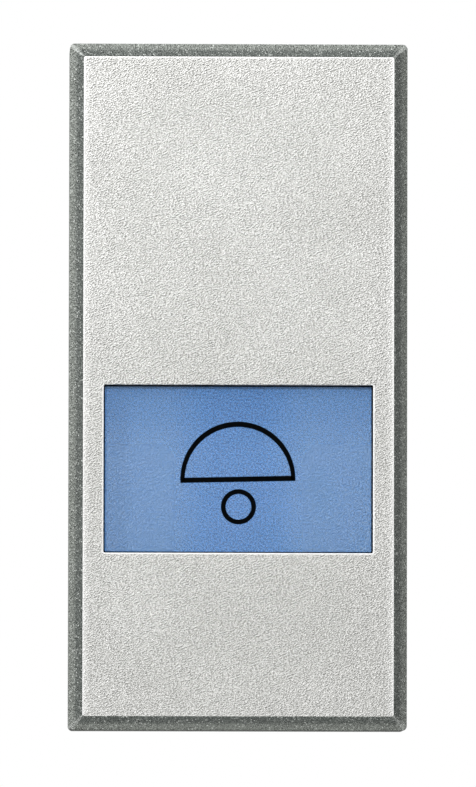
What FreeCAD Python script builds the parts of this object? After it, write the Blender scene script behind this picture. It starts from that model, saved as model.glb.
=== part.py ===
import FreeCAD, Part
import math
import os
import re
import Sketcher

# Doorbell push button for one place of a modular wall plate.
# Millimetres. +X is right as seen from the room, +Y goes into the wall and +Z is up.
# The origin is the centre of the seating plane, the back of the front frame's flange.
# The key tilts about a pin near its top and drives a plunger that bridges two contacts.

document = FreeCAD.newDocument("DoorbellPushButton")
sheet = document.addObject("Spreadsheet::Sheet", "Sizes")
subParts = []

# Every size that can be set by itself
sizes = {
    # How far joined blocks reach into each other, and how far a cut runs past a wall
    "join": 0.2,
    "overcut": 0.1,
    # Key cover
    "key_width": 22.15,
    "key_height": 45.0,
    "key_front": 9.6,
    "bevel_width": 0.865,
    "bevel_depth": 0.9,
    "key_corner_radius": 0.3,
    "face_corner_radius": 0.12,
    "cover_wall": 1.2,
    "face_wall": 1.3,
    "cover_inner_radius": 0.6,
    "window_height": 11.0,
    "bead_reach": 0.35,
    "bead_depth": 0.5,
    "bead_length": 6.0,
    "bead_inset": 4.7,
    # Lens, label and diffuser, stacked behind the window
    "lens_recess": 0.45,
    "lens_fit": 0.06,
    "lens_chamfer": 0.18,
    "rim_reach": 0.45,
    "rim_depth": 0.6,
    "label_depth": 0.2,
    "diffuser_depth": 0.85,
    "diffuser_hollow": 0.4,
    "diffuser_edge": 1.3,
    "stack_fit": 0.08,
    "pocket_wall": 0.43,
    "lip_reach": 0.95,
    "lip_depth": 0.7,
    "light_mouth_corner": 0.6,
    "window_bar": 0.8,
    # Key carrier
    "carrier_fit": 0.1,
    "carrier_plate": 1.2,
    "carrier_corner": 0.5,
    "rib_depth": 1.5,
    "rib_width": 0.9,
    "rib_spread": 5.4,
    "ear_width": 1.8,
    "ear_gap": 0.25,
    "ear_radius": 1.6,
    "ear_flare": 1.92,
    "hook_width": 3.0,
    "hook_spread": 5.0,
    "hook_thickness": 1.0,
    "hook_gap": 0.35,
    "hook_root": 1.3,
    "hook_lead": 0.75,
    "hook_nose": 0.75,
    "hook_nose_depth": 0.8,
    "hook_play": 0.05,
    "press_pad_width": 5.0,
    "press_pad_radius": 1.5,
    "press_pad_root": 1.95,
    # How the key swings on its pin
    "key_swing": 2.5,
    "swing_clearance": 0.3,
    "pivot_inset": 2.2,
    "pivot_depth": 3.0,
    "pin_radius": 0.8,
    "pin_running_fit": 0.04,
    "pin_seat_fit": 0.01,
    "pin_end_gap": 0.15,
    # Front frame
    "flange_side_inset": 0.075,
    "flange_end_inset": 0.2,
    "flange_depth": 1.8,
    "flange_corner": 0.8,
    "seat_depth": 0.6,
    "seat_fit": 0.08,
    "skirt_gap": 0.4,
    "collar_wall": 1.2,
    "collar_corner": 0.6,
    "throat_corner": 0.3,
    "leg_inset": 4.2,
    "leg_width": 3.0,
    "leg_thickness": 1.0,
    "leg_length": 7.2,
    "leg_nose_start": 4.6,
    "leg_nose_depth": 1.6,
    "leg_nose_reach": 0.8,
    "latch_fit": 0.12,
    # Housing
    "housing_side_inset": 0.475,
    "housing_end_inset": 2.0,
    "housing_wall": 1.2,
    "housing_corner": 0.8,
    "plunger_bay": 4.6,
    "partition_wall": 1.0,
    "partition_front": 0.8,
    "shelf_depth": 1.3,
    "shelf_gap": 0.1,
    "board_ledge_reach": 1.1,
    "board_ledge_length": 3.4,
    "guide_ledge_reach": 2.0,
    "guide_ledge_height": 2.1,
    "screw_boss_radius": 1.9,
    "screw_boss_rib": 1.4,
    "rear_cover_depth": 1.6,
    "rear_entry_width": 4.4,
    "rear_entry_height": 3.4,
    "entry_funnel": 0.5,
    # Cover screws
    "cover_screw_radius": 1.0,
    "cover_screw_length": 6.0,
    "cover_screw_head_radius": 1.8,
    "cover_screw_head_depth": 0.9,
    "cover_screw_head_edge": 0.25,
    "cover_screw_point": 0.8,
    "cover_screw_end_gap": 0.6,
    "cross_length": 2.2,
    "cross_width": 0.45,
    "cross_depth": 0.5,
    "cover_screw_fit": 0.02,
    "cover_screw_inset": 3.3,
    "screw_clearance": 0.15,
    # Retaining clips
    "clip_width": 8.0,
    "clip_thickness": 0.45,
    "clip_front": 2.6,
    "clip_rise": 1.45,
    "clip_hook": 0.75,
    "clip_bend": 8.2,
    "clip_end": 15.0,
    "clip_fit": 0.08,
    "strap_start": 10.0,
    "strap_length": 3.0,
    "strap_wall": 0.8,
    "strap_post": 1.4,
    # Plunger and its guide
    "plunger_inset": 3.8,
    "plunger_play": 0.08,
    "plunger_head_width": 6.4,
    "plunger_head_height": 5.8,
    "plunger_head_depth": 1.6,
    "plunger_head_corner": 1.0,
    "stem_radius": 2.0,
    "stem_fit": 0.06,
    "neck_radius": 1.2,
    "neck_tail": 1.1,
    "neck_chamfer": 0.3,
    "groove_radius": 0.9,
    "guide_front": 2.4,
    "guide_depth": 2.0,
    "guide_side_gap": 0.1,
    "guide_boss_radius": 3.3,
    "guide_boss_depth": 0.8,
    "shoulder_reach": 1.1,
    # Springs
    "return_coil_radius": 2.4,
    "return_wire_radius": 0.2,
    "return_coil_turns": 5,
    "contact_coil_radius": 1.65,
    "contact_wire_radius": 0.16,
    "contact_coil_turns": 4,
    "contact_spring_length": 2.5,
    "spring_seat": 0.03,
    "coil_steps": 12,
    "wire_sides": 6,
    # Contacts
    "bridge_length": 13.0,
    "bridge_width": 4.2,
    "bridge_thickness": 0.6,
    "bridge_corner": 1.4,
    "bridge_fit": 0.06,
    "ring_radius": 2.1,
    "ring_depth": 0.5,
    "ring_fit": 0.03,
    "ring_slot": 1.5,
    "tip_inset": 1.5,
    "tip_radius": 1.2,
    "tip_height": 0.8,
    "tip_crown": 0.25,
    "moving_tip_flat": 0.6,
    "fixed_tip_flat": 0.96,
    "contact_clearance": 0.05,
    "strip_thickness": 0.5,
    "strip_width": 3.2,
    "strip_foot": 2.1,
    "strip_lift": 0.05,
    "strip_end_inset": 0.8,
    # Terminals
    "terminal_side_gap": 0.9,
    "terminal_front_gap": 2.909,
    "terminal_rear_gap": 0.4,
    "clamp_depth": 6.0,
    "clamp_width": 6.4,
    "clamp_height": 6.6,
    "clamp_wall": 0.8,
    "clamp_thread_wall": 1.6,
    "clamp_inset": 0.7,
    "clamp_screw_radius": 1.5,
    "clamp_screw_fit": 0.03,
    "clamp_screw_reach": 1.2,
    "clamp_head_radius": 2.2,
    "clamp_head_depth": 1.3,
    "clamp_head_lift": 0.05,
    "clamp_slot_width": 0.6,
    "clamp_slot_depth": 0.7,
    "access_clearance": 0.3,
    # Lamp
    "tunnel_setback": 0.1,
    "tunnel_gap": 0.15,
    "tunnel_height": 10.2,
    "tunnel_wall": 0.8,
    "tunnel_rear": 6.0,
    "board_front": 6.4,
    "board_depth": 1.0,
    "board_side_gap": 0.2,
    "board_end_gap": 0.2,
    "board_height": 9.8,
    "board_corner": 0.5,
    "led_radius": 1.5,
    "led_flat": 0.9,
    "led_length": 3.2,
    "led_base_radius": 1.85,
    "led_base_depth": 0.8,
    "resistor_radius": 0.85,
    "resistor_length": 4.2,
    "resistor_lead_radius": 0.25,
    "resistor_lead_span": 7.0,
    "resistor_foot_height": 0.4,
    "resistor_height": 1.1,
    "lamp_pad_drop": 2.2,
    "lamp_shelf_gap": 2.6,
}

# Places worked out from the sizes; y grows into the wall
places = {
    "face_y": "-key_front",
    "shoulder_y": "face_y + bevel_depth",
    "cover_inner_y": "face_y + face_wall",
    "inner_width": "key_width - 2 * cover_wall",
    "inner_height": "key_height - 2 * cover_wall",
    "flange_front_y": "-flange_depth",
    "seat_floor_y": "-seat_depth",
    "skirt_back_y": "flange_front_y - swing_clearance - (key_height / 2 + pivot_height) * sin(key_swing)",
    "carrier_back_y": "cover_inner_y + carrier_plate",
    "carrier_width": "inner_width - 2 * carrier_fit",
    "carrier_height": "inner_height - 2 * carrier_fit",
    "lens_front_y": "face_y + lens_recess",
    "lens_back_y": "cover_inner_y + rim_depth",
    "label_back_y": "lens_back_y + label_depth",
    "diffuser_back_y": "label_back_y + diffuser_depth",
    "window_width": "carrier_width - 2 * (pocket_wall + stack_fit + rim_reach)",
    "window_drop": "partition_drop - partition_wall / 2 - board_end_gap - board_height / 2",
    "rim_width": "window_width + 2 * rim_reach",
    "rim_height": "window_height + 2 * rim_reach",
    "lip_front_y": "diffuser_back_y + stack_fit / 2",
    "lip_back_y": "lip_front_y + lip_depth",
    "frame_bar_height": "rim_height + 2 * stack_fit + 2 * window_bar",
    "frame_bar_low": "window_drop + frame_bar_height / 2",
    "collar_front_y": "lip_back_y + (frame_bar_low + pivot_height) * sin(key_swing) + swing_clearance",
    "collar_width": "inner_width - 2 * skirt_gap",
    "collar_height": "inner_height - 2 * skirt_gap",
    "throat_width": "collar_width - 2 * collar_wall",
    "throat_height": "collar_height - 2 * collar_wall",
    "pivot_y": "-pivot_depth",
    "pivot_height": "throat_height / 2 - pivot_inset",
    "bead_spread": "inner_height / 2 - bead_inset",
    "flange_width": "key_width - 2 * flange_side_inset",
    "flange_height": "key_height - 2 * flange_end_inset",
    "housing_width": "key_width - 2 * housing_side_inset",
    "housing_height": "key_height - 2 * housing_end_inset",
    "leg_height": "throat_height / 2 - leg_inset",
    "cover_screw_height": "housing_inner_height / 2 - cover_screw_inset",
    "plunger_drop": "housing_inner_height / 2 - plunger_inset",
    "partition_drop": "plunger_drop - plunger_bay",
    "terminal_spread": "housing_inner_width / 2 - clamp_width / 2 - terminal_side_gap",
    "terminal_start": "strip_back_y + shelf_depth + terminal_front_gap",
    "housing_depth": "terminal_start + clamp_depth + terminal_rear_gap",
    "board_width": "housing_inner_width - 2 * board_side_gap",
    "lamp_strip_start": "terminal_start - lamp_shelf_gap - shelf_depth - strip_thickness",
    "hook_outer": "throat_height / 2 - hook_gap",
    "hook_nose_y": "collar_front_y + hook_lead + hook_play",
    "nose_travel": "(hook_outer + pivot_height) * sin(key_swing)",
    "pad_tip_y": "plunger_front_y - plunger_play",
    "plunger_front_y": "collar_front_y + tunnel_setback",
    "plunger_travel": "(plunger_drop + pivot_height) * tan(key_swing)",
    "plunger_head_back_y": "plunger_front_y + plunger_head_depth",
    "guide_back_y": "guide_front + guide_depth",
    "stem_back_y": "guide_back_y + shoulder_reach",
    "bridge_front_y": "stem_back_y + contact_spring_length",
    "bridge_back_y": "bridge_front_y + bridge_thickness",
    "ring_back_y": "bridge_back_y + ring_depth",
    "neck_back_y": "ring_back_y + neck_tail",
    "tip_spread": "bridge_length / 2 - tip_inset",
    "fixed_front_y": "bridge_back_y + tip_height + plunger_travel + contact_clearance",
    "strip_front_y": "fixed_front_y + tip_height",
    "strip_back_y": "strip_front_y + strip_thickness",
    "housing_inner_width": "housing_width - 2 * housing_wall",
    "housing_inner_height": "housing_height - 2 * housing_wall",
    "clamp_outer_z": "housing_inner_height / 2 - clamp_inset",
    "clamp_inner_z": "clamp_outer_z - clamp_height",
    "clamp_middle_z": "clamp_outer_z - clamp_thread_wall - clamp_mouth / 2",
    "clamp_mouth": "clamp_height - clamp_wall - clamp_thread_wall",
    "clamp_screw_y": "terminal_start + clamp_depth / 2",
    "strip_lie_z": "clamp_inner_z + clamp_wall + strip_lift",
    "strip_end_y": "terminal_start + clamp_depth - strip_end_inset",
    "board_back_y": "board_front + board_depth",
    "tunnel_front_y": "collar_front_y + tunnel_setback",
    "tunnel_width": "throat_width - 2 * tunnel_gap",
}


def formula(text):
    # The names of places and sizes become an expression that reads the sheet
    def expand(match):
        word = match.group(0)
        if word in places:
            return "(" + formula(places[word]) + ")"
        return "Sizes." + word if word in sizes else word

    return re.sub(r"[a-z_]+", expand, str(text))


def fillSheet():
    for row, (alias, value) in enumerate(sizes.items(), 1):
        sheet.set(f"A{row}", alias)
        sheet.set(f"B{row}", str(value))
        sheet.setAlias(f"B{row}", alias)
    document.recompute()


def measure(text):
    return float(sheet.evalExpression(formula(text)))


def bind(item, setting, text):
    item.setExpression(setting, formula(text))


def newBody(label, x="0", y="0", z="0", turn=0):
    # turn is in degrees about +Y
    body = document.addObject("PartDesign::Body", label)
    body.Label = label
    body.Placement.Rotation = FreeCAD.Rotation(FreeCAD.Vector(0, 1, 0), turn)
    for axis, place in zip("xyz", (x, y, z)):
        bind(body, f".Placement.Base.{axis}", place)
    subParts.append(body)
    return body


# Outlines, as lists of corners: (across, up) or (across, up, radius) at a square corner
def rectangle(across, up, width, height, radius=None):
    corners = []
    for sideways, upwards in ((-1, -1), (1, -1), (1, 1), (-1, 1)):
        corner = (f"({across}) + {sideways} * ({width}) / 2", f"({up}) + {upwards} * ({height}) / 2")
        corners.append(corner + ((radius,) if radius else ()))
    return corners


def sign(number):
    return (number > 0) - (number < 0)


def pin(sketch, geometry, point, spot, name):
    # Holds a point of the sketch at a place given by two expressions
    for kind, text in zip(("DistanceX", "DistanceY"), spot):
        index = sketch.addConstraint(Sketcher.Constraint(kind, -1, 1, geometry, point, measure(text)))
        label = f"{name}{kind[-1]}{geometry}_{point}"
        sketch.renameConstraint(index, label)
        bind(sketch, f"Constraints.{label}", text)


def drawOutline(sketch, corners):
    spots = [FreeCAD.Vector(measure(c[0]), measure(c[1]), 0) for c in corners]
    count = len(corners)
    runs = []
    bends = []
    for i, corner in enumerate(corners):
        before = spots[i - 1] - spots[i]
        after = spots[(i + 1) % count] - spots[i]
        radius = measure(corner[2]) if len(corner) > 2 else 0
        runs.append((spots[i] + before.normalize() * radius, spots[i] + after.normalize() * radius))
    first = sketch.GeometryCount
    for i in range(count):
        sketch.addGeometry(Part.LineSegment(runs[i][1], runs[(i + 1) % count][0]), False)
    for i, corner in enumerate(corners):
        if len(corner) == 2:
            sketch.addConstraint(Sketcher.Constraint("Coincident", first + (i - 1) % count, 2, first + i, 1))
            pin(sketch, first + i, 1, corner, "P")
            continue
        start, end = runs[i]
        centre = start + end - spots[i]
        middle = centre + (spots[i] - centre).normalize() * measure(corner[2])
        bend = sketch.addGeometry(Part.Arc(start, middle, end), False)
        bends.append(bend)
        arc = sketch.Geometry[bend]
        opens = 1 if (arc.StartPoint - start).Length < (arc.EndPoint - start).Length else 2
        sketch.addConstraint(Sketcher.Constraint("Tangent", first + (i - 1) % count, 2, bend, opens))
        sketch.addConstraint(Sketcher.Constraint("Tangent", first + i, 1, bend, 3 - opens))
        inward = [sign(round(centre[k] - spots[i][k], 6)) for k in (0, 1)]
        pin(sketch, bend, 3, [f"({corner[k]}) + {inward[k]} * ({corner[2]})" for k in (0, 1)], "C")
        index = sketch.addConstraint(Sketcher.Constraint("Radius", bend, measure(corner[2])))
        sketch.renameConstraint(index, f"R{bend}")
        bind(sketch, f"Constraints.R{bend}", corner[2])


def drawCircle(sketch, across, up, radius):
    centre = FreeCAD.Vector(measure(across), measure(up), 0)
    ring = sketch.addGeometry(Part.Circle(centre, FreeCAD.Vector(0, 0, 1), measure(radius)), False)
    pin(sketch, ring, 3, (across, up), "O")
    index = sketch.addConstraint(Sketcher.Constraint("Radius", ring, measure(radius)))
    sketch.renameConstraint(index, f"R{ring}")
    bind(sketch, f"Constraints.R{ring}", radius)


def newSketch(body, name, plane, at, loops):
    # Drawn at a place along the plane's own axis; a loop is an outline or a circle
    sketch = body.newObject("Sketcher::SketchObject", name)
    role = f"{plane}_Plane"
    sketch.AttachmentSupport = [(next(f for f in body.Origin.OriginFeatures if f.Role == role), "")]
    sketch.MapMode = "FlatFace"
    bind(sketch, ".AttachmentOffset.Base.z", f"-({at})" if plane == "XZ" else at)
    for loop in loops:
        if isinstance(loop, list):
            drawOutline(sketch, loop)
        else:
            drawCircle(sketch, *loop)
    return sketch


def extrude(body, name, plane, low, high, *loops, cut=False):
    # Adds or cuts the outline between two places along the plane's axis
    backwards = (plane == "XZ") != cut
    sketch = newSketch(body, name + "Outline", plane, high if backwards else low, loops)
    feature = body.newObject("PartDesign::" + ("Pocket" if cut else "Pad"), name)
    feature.Profile = sketch
    bind(feature, "Length", f"({high}) - ({low})")
    return feature


def loft(body, name, sections, cut=False):
    # Straight-sided transition between outlines at places along Y
    sketches = []
    for number, (at, outline) in enumerate(sections):
        sketches.append(newSketch(body, f"{name}Section{number}", "XZ", at, [outline]))
    kind = "SubtractiveLoft" if cut else "AdditiveLoft"
    feature = body.newObject("PartDesign::" + kind, name)
    feature.Profile = sketches[0]
    feature.Sections = sketches[1:]
    feature.Ruled = True
    return feature


def turned(body, name, profile):
    # A profile of (along Y, radius) corners turned about the body's own Y axis
    sketch = newSketch(body, name + "Profile", "YZ", "0", [profile])
    feature = body.newObject("PartDesign::Revolution", name)
    feature.Profile = sketch
    feature.ReferenceAxis = (sketch, ["H_Axis"])
    feature.Angle = 360
    return feature


# The key: cover, lens, label, diffuser and carrier
def keyCover():
    body = newBody("key_cover")
    faceWidth = "key_width - 2 * bevel_width"
    faceHeight = "key_height - 2 * bevel_width"
    outside = rectangle("0", "0", "key_width", "key_height", "key_corner_radius")
    loft(body, "Bevel", [
        ("shoulder_y", outside),
        ("face_y", rectangle("0", "0", faceWidth, faceHeight, "face_corner_radius")),
    ])
    extrude(body, "Skirt", "XZ", "shoulder_y", "skirt_back_y", outside)
    hollow = rectangle("0", "0", "inner_width", "inner_height", "cover_inner_radius")
    extrude(body, "Hollow", "XZ", "cover_inner_y", "skirt_back_y", hollow, cut=True)
    window = rectangle("0", "-window_drop", "window_width", "window_height")
    extrude(body, "Window", "XZ", "face_y", "cover_inner_y", window, cut=True)
    # Catch beads on the long walls snap behind the carrier plate
    for side in (-1, 1):
        for end in (-1, 1):
            middle = f"{side} * (inner_width - bead_reach) / 2"
            height = f"{end} * bead_spread"
            bead = rectangle(middle, height, "bead_reach", "bead_length")
            name = f"Bead{side}{end}".replace("-", "m")
            front = "carrier_back_y + stack_fit"
            extrude(body, name, "XZ", front, f"{front} + bead_depth", bead)


def windowLens():
    body = newBody("window_lens", z="-window_drop")
    pane = rectangle("0", "0", "window_width - 2 * lens_fit", "window_height - 2 * lens_fit")
    narrow = "window_width - 2 * lens_fit - 2 * lens_chamfer"
    low = "window_height - 2 * lens_fit - 2 * lens_chamfer"
    loft(body, "Edge", [
        ("lens_front_y + lens_chamfer", pane),
        ("lens_front_y", rectangle("0", "0", narrow, low)),
    ])
    extrude(body, "Pane", "XZ", "lens_front_y + lens_chamfer", "cover_inner_y", pane)
    extrude(body, "Rim", "XZ", "cover_inner_y", "lens_back_y", rectangle("0", "0", "rim_width", "rim_height"))


def labelCard():
    body = newBody("label_card", z="-window_drop")
    card = rectangle("0", "0", "rim_width", "rim_height")
    extrude(body, "Card", "XZ", "lens_back_y", "label_back_y", card)


def lightDiffuser():
    body = newBody("light_diffuser", z="-window_drop")
    plate = rectangle("0", "0", "rim_width", "rim_height")
    extrude(body, "Plate", "XZ", "label_back_y", "diffuser_back_y", plate)
    width = "rim_width - 2 * diffuser_edge"
    height = "rim_height - 2 * diffuser_edge"
    dish = rectangle("0", "0", width, height, "diffuser_edge / 2")
    extrude(body, "Dish", "XZ", "diffuser_back_y - diffuser_hollow", "diffuser_back_y", dish, cut=True)


def keyCarrier():
    body = newBody("key_carrier")
    plate = rectangle("0", "0", "carrier_width", "carrier_height", "carrier_corner")
    extrude(body, "Plate", "XZ", "cover_inner_y", "carrier_back_y", plate)
    bars = rectangle("0", "-window_drop", "carrier_width", "frame_bar_height")
    extrude(body, "WindowBars", "XZ", "carrier_back_y", "lip_back_y", bars)
    # Stiffening ribs run from the window bars up to the ears
    ribLow = "frame_bar_height / 2 - window_drop"
    ribHigh = "pivot_height - ear_radius"
    ribMiddle = f"({ribLow} + {ribHigh}) / 2"
    for side in (-1, 1):
        rib = rectangle(f"{side} * rib_spread", ribMiddle, "rib_width", f"{ribHigh} - ({ribLow})")
        extrude(body, f"Rib{side + 1}", "XZ", "carrier_back_y", "carrier_back_y + rib_depth", rib)
    crossRib = rectangle("0", ribMiddle, "2 * rib_spread", "rib_width")
    extrude(body, "CrossRib", "XZ", "carrier_back_y", "carrier_back_y + rib_depth", crossRib)
    # Ears that hang the key on its pin
    outer = "throat_width / 2 - ear_gap"
    for side in (-1, 1):
        low, high = (f"{outer} - ear_width", outer)
        if side < 0:
            low, high = (f"-({outer})", f"-({outer}) + ear_width")
        cheek = [
            ("carrier_back_y - join", "pivot_height - 2 * ear_radius"),
            ("pivot_y", "pivot_height - ear_radius"),
            ("pivot_y", "pivot_height + ear_radius"),
            ("carrier_back_y - join", "pivot_height + ear_flare"),
        ]
        extrude(body, f"Cheek{side + 1}", "YZ", low, high, cheek)
        extrude(body, f"Eye{side + 1}", "YZ", low, high, ("pivot_y", "pivot_height", "ear_radius"))
    bore = ("pivot_y", "pivot_height", "pin_radius + pin_running_fit")
    extrude(body, "PinBore", "YZ", "-key_width / 2", "key_width / 2", bore, cut=True)
    # Hooks at the bottom that stop the key's way out
    nose = "hook_outer + hook_nose"
    for side in (-1, 1):
        low = f"{side} * hook_spread - hook_width / 2"
        hook = [
            ("carrier_back_y - join", "-hook_outer"),
            ("hook_nose_y", "-hook_outer"),
            ("hook_nose_y", f"-({nose})"),
            ("hook_nose_y + hook_nose_depth / 3", f"-({nose})"),
            ("hook_nose_y + hook_nose_depth", "-hook_outer"),
            ("hook_nose_y + hook_nose_depth", "-hook_outer + hook_thickness"),
            ("carrier_back_y - join", "-hook_outer + hook_root"),
        ]
        extrude(body, f"Hook{side + 1}", "YZ", low, f"{low} + hook_width", hook)
    # Rounded pad that pushes the plunger
    half = "press_pad_width / 2"
    shank = [
        ("carrier_back_y - join", "-plunger_drop - press_pad_root"),
        ("pad_tip_y - press_pad_radius", "-plunger_drop - press_pad_radius"),
        ("pad_tip_y - press_pad_radius", "-plunger_drop + press_pad_radius"),
        ("carrier_back_y - join", "-plunger_drop + press_pad_root"),
    ]
    extrude(body, "PadShank", "YZ", f"-{half}", half, shank)
    nub = ("pad_tip_y - press_pad_radius", "-plunger_drop", "press_pad_radius")
    extrude(body, "PadNose", "YZ", f"-{half}", half, nub)
    pocket = rectangle("0", "-window_drop", "rim_width + 2 * stack_fit", "rim_height + 2 * stack_fit")
    extrude(body, "StackPocket", "XZ", "cover_inner_y", "lip_front_y", pocket, cut=True)
    wide = "rim_width - 2 * lip_reach"
    mouth = rectangle("0", "-window_drop", wide, "rim_height - 2 * lip_reach", "light_mouth_corner")
    extrude(body, "LightMouth", "XZ", "lip_front_y", "lip_back_y", mouth, cut=True)


def pivotPin():
    body = newBody("pivot_pin", y="pivot_y", z="pivot_height")
    half = "(collar_width / 2 - pin_end_gap)"
    extrude(body, "Rod", "YZ", f"-{half}", half, ("0", "0", "pin_radius"))


# The parts that stay still
def frontFrame():
    body = newBody("front_frame")
    flange = rectangle("0", "0", "flange_width", "flange_height", "flange_corner")
    extrude(body, "Flange", "XZ", "flange_front_y", "0", flange)
    collar = rectangle("0", "0", "collar_width", "collar_height", "collar_corner")
    extrude(body, "Collar", "XZ", "collar_front_y", "flange_front_y", collar)
    throat = rectangle("0", "0", "throat_width", "throat_height", "throat_corner")
    extrude(body, "Throat", "XZ", "collar_front_y", "0", throat, cut=True)
    # Recess in the back for the housing's rim, so only the edge outside it lies on the support
    seat = rectangle(
        "0",
        "0",
        "housing_width + 2 * seat_fit",
        "housing_height + 2 * seat_fit",
        "housing_corner + seat_fit",
    )
    extrude(body, "HousingSeat", "XZ", "seat_floor_y", "0", seat, cut=True)
    bore = ("pivot_y", "pivot_height", "pin_radius + pin_seat_fit")
    extrude(body, "PinBore", "YZ", "-collar_width / 2", "collar_width / 2", bore, cut=True)
    # Blind slots in the lower wall that catch the key's hooks
    for side in (-1, 1):
        slot = rectangle(
            f"{side} * hook_spread",
            "(hook_nose_y - hook_play + hook_nose_y + hook_nose_depth + nose_travel + swing_clearance) / -2",
            "hook_width + 2 * swing_clearance",
            "hook_nose_depth + nose_travel + swing_clearance + hook_play",
        )
        # Seen from above: the sketch's up is +Y, so the slot's depth is turned over
        slot = [(corner[0], f"-({corner[1]})") for corner in slot]
        top = "-throat_height / 2 + overcut"
        bottom = "-hook_outer - hook_nose - swing_clearance / 2"
        extrude(body, f"HookSlot{side + 1}", "XY", bottom, top, slot, cut=True)
    # Legs that reach into the housing and snap into its side walls
    inner = "throat_width / 2"
    foot = "leg_nose_start + leg_nose_depth"
    for side in (-1, 1):
        for end in (-1, 1):
            face = f"{side} * ({inner} + leg_thickness)"
            nose = f"{side} * ({inner} + leg_thickness + leg_nose_reach)"
            leg = [
                (f"{side} * ({inner})", "seat_floor_y"),
                (face, "seat_floor_y"),
                (face, "leg_nose_start"),
                (nose, "leg_nose_start"),
                (nose, "leg_nose_start + leg_nose_depth / 3"),
                (face, foot),
                (f"{side} * ({inner} + leg_thickness / 2)", "leg_length"),
                (f"{side} * ({inner})", "leg_length"),
            ]
            low = f"{end} * leg_height - leg_width / 2"
            extrude(body, f"Leg{side + 1}{end + 1}", "XY", low, f"{low} + leg_width", leg)


def housing():
    body = newBody("housing")
    outside = rectangle("0", "0", "housing_width", "housing_height", "housing_corner")
    extrude(body, "Shell", "XZ", "seat_floor_y", "housing_depth", outside)
    inside = rectangle("0", "0", "housing_inner_width", "housing_inner_height")
    extrude(body, "Chamber", "XZ", "seat_floor_y", "housing_depth", inside, cut=True)
    partition = rectangle("0", "-partition_drop", "housing_inner_width + join", "partition_wall")
    extrude(body, "Partition", "XZ", "partition_front", "housing_depth", partition)
    half = "housing_inner_width / 2"
    # Shelves behind the contact strips, one at each end of the housing
    for end in (-1, 1):
        inner = "strip_lie_z + strip_thickness + shelf_gap"
        front = "strip_back_y" if end < 0 else "lamp_strip_start + strip_thickness"
        middle = f"{end} * ({inner} + housing_inner_height / 2 + join / 2) / 2"
        tall = f"housing_inner_height / 2 + join / 2 - ({inner})"
        shelf = rectangle("0", middle, "housing_inner_width + join", tall)
        extrude(body, f"Shelf{end + 1}", "XZ", front, f"{front} + shelf_depth", shelf)
        # Screw boss with a rib to the wall
        boss = ("0", f"{end} * cover_screw_height", "screw_boss_radius")
        extrude(body, f"Boss{end + 1}", "XZ", f"{front} + shelf_depth / 2", "housing_depth", boss)
        rib = rectangle(
            "0",
            f"{end} * (cover_screw_height + housing_inner_height / 2) / 2",
            "screw_boss_rib",
            "housing_inner_height / 2 - cover_screw_height + join",
        )
        extrude(body, f"BossRib{end + 1}", "XZ", f"{front} + shelf_depth / 2", "housing_depth", rib)
        pilot = ("0", f"{end} * cover_screw_height", "cover_screw_radius + cover_screw_fit")
        deep = "housing_depth - cover_screw_length"
        extrude(body, f"Pilot{end + 1}", "XZ", deep, "housing_depth", pilot, cut=True)
    # Ledges for the lamp board and for the plunger's guide
    for side in (-1, 1):
        middle = f"{side} * ({half} - board_ledge_reach / 2 + join / 2)"
        ledge = rectangle(middle, "-window_drop", "board_ledge_reach + join", "board_height")
        end = "board_back_y + board_ledge_length"
        extrude(body, f"BoardLedge{side + 1}", "XZ", "board_back_y", end, ledge)
        across = f"{side} * ({half} - guide_ledge_reach / 2 + join / 2)"
        up = "-housing_inner_height / 2 + guide_ledge_height / 2 - join / 2"
        ledge = rectangle(across, up, "guide_ledge_reach + join", "guide_ledge_height + join")
        extrude(body, f"GuideLedge{side + 1}", "XZ", "guide_back_y", "strip_back_y", ledge)
    # Slots in the side walls for the frame's legs
    for end in (-1, 1):
        slot = rectangle(
            "leg_nose_start + leg_nose_depth / 2",
            f"{end} * leg_height",
            "leg_nose_depth + 2 * latch_fit",
            "leg_width + 2 * latch_fit",
        )
        extrude(body, f"LatchSlots{end + 1}", "YZ", "-housing_width", "housing_width", slot, cut=True)
    # Straps over the retaining clips, top and bottom
    strapHeight = "clip_thickness + 2 * clip_fit + strap_wall"
    base = "housing_height / 2"
    for end in (-1, 1):
        middle = f"{end} * ({base} + ({strapHeight} - join) / 2)"
        strapWidth = "clip_width + 2 * clip_fit + 2 * strap_post"
        strap = rectangle("0", middle, strapWidth, f"{strapHeight} + 2 * join")
        extrude(body, f"Strap{end + 1}", "XZ", "strap_start", "strap_start + strap_length", strap)
        gap = rectangle(
            "0",
            f"{end} * ({base} + (clip_thickness + 2 * clip_fit) / 2)",
            "clip_width + 2 * clip_fit",
            "clip_thickness + 2 * clip_fit",
        )
        extrude(body, f"StrapGap{end + 1}", "XZ", "strap_start", "strap_start + strap_length", gap, cut=True)
        # Screwdriver access to the clamp screws
        for side in (-1, 1):
            access = rectangle(
                f"{side} * terminal_spread",
                "clamp_screw_y",
                "2 * clamp_head_radius + 2 * access_clearance",
                "2 * clamp_head_radius + 2 * access_clearance",
            )
            low, high = ("-housing_height / 2", "-housing_inner_height / 2 + overcut")
            if end > 0:
                low, high = ("housing_inner_height / 2 - overcut", "housing_height / 2")
            extrude(body, f"Access{end + 1}{side + 1}", "XY", low, high, access, cut=True)


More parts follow.
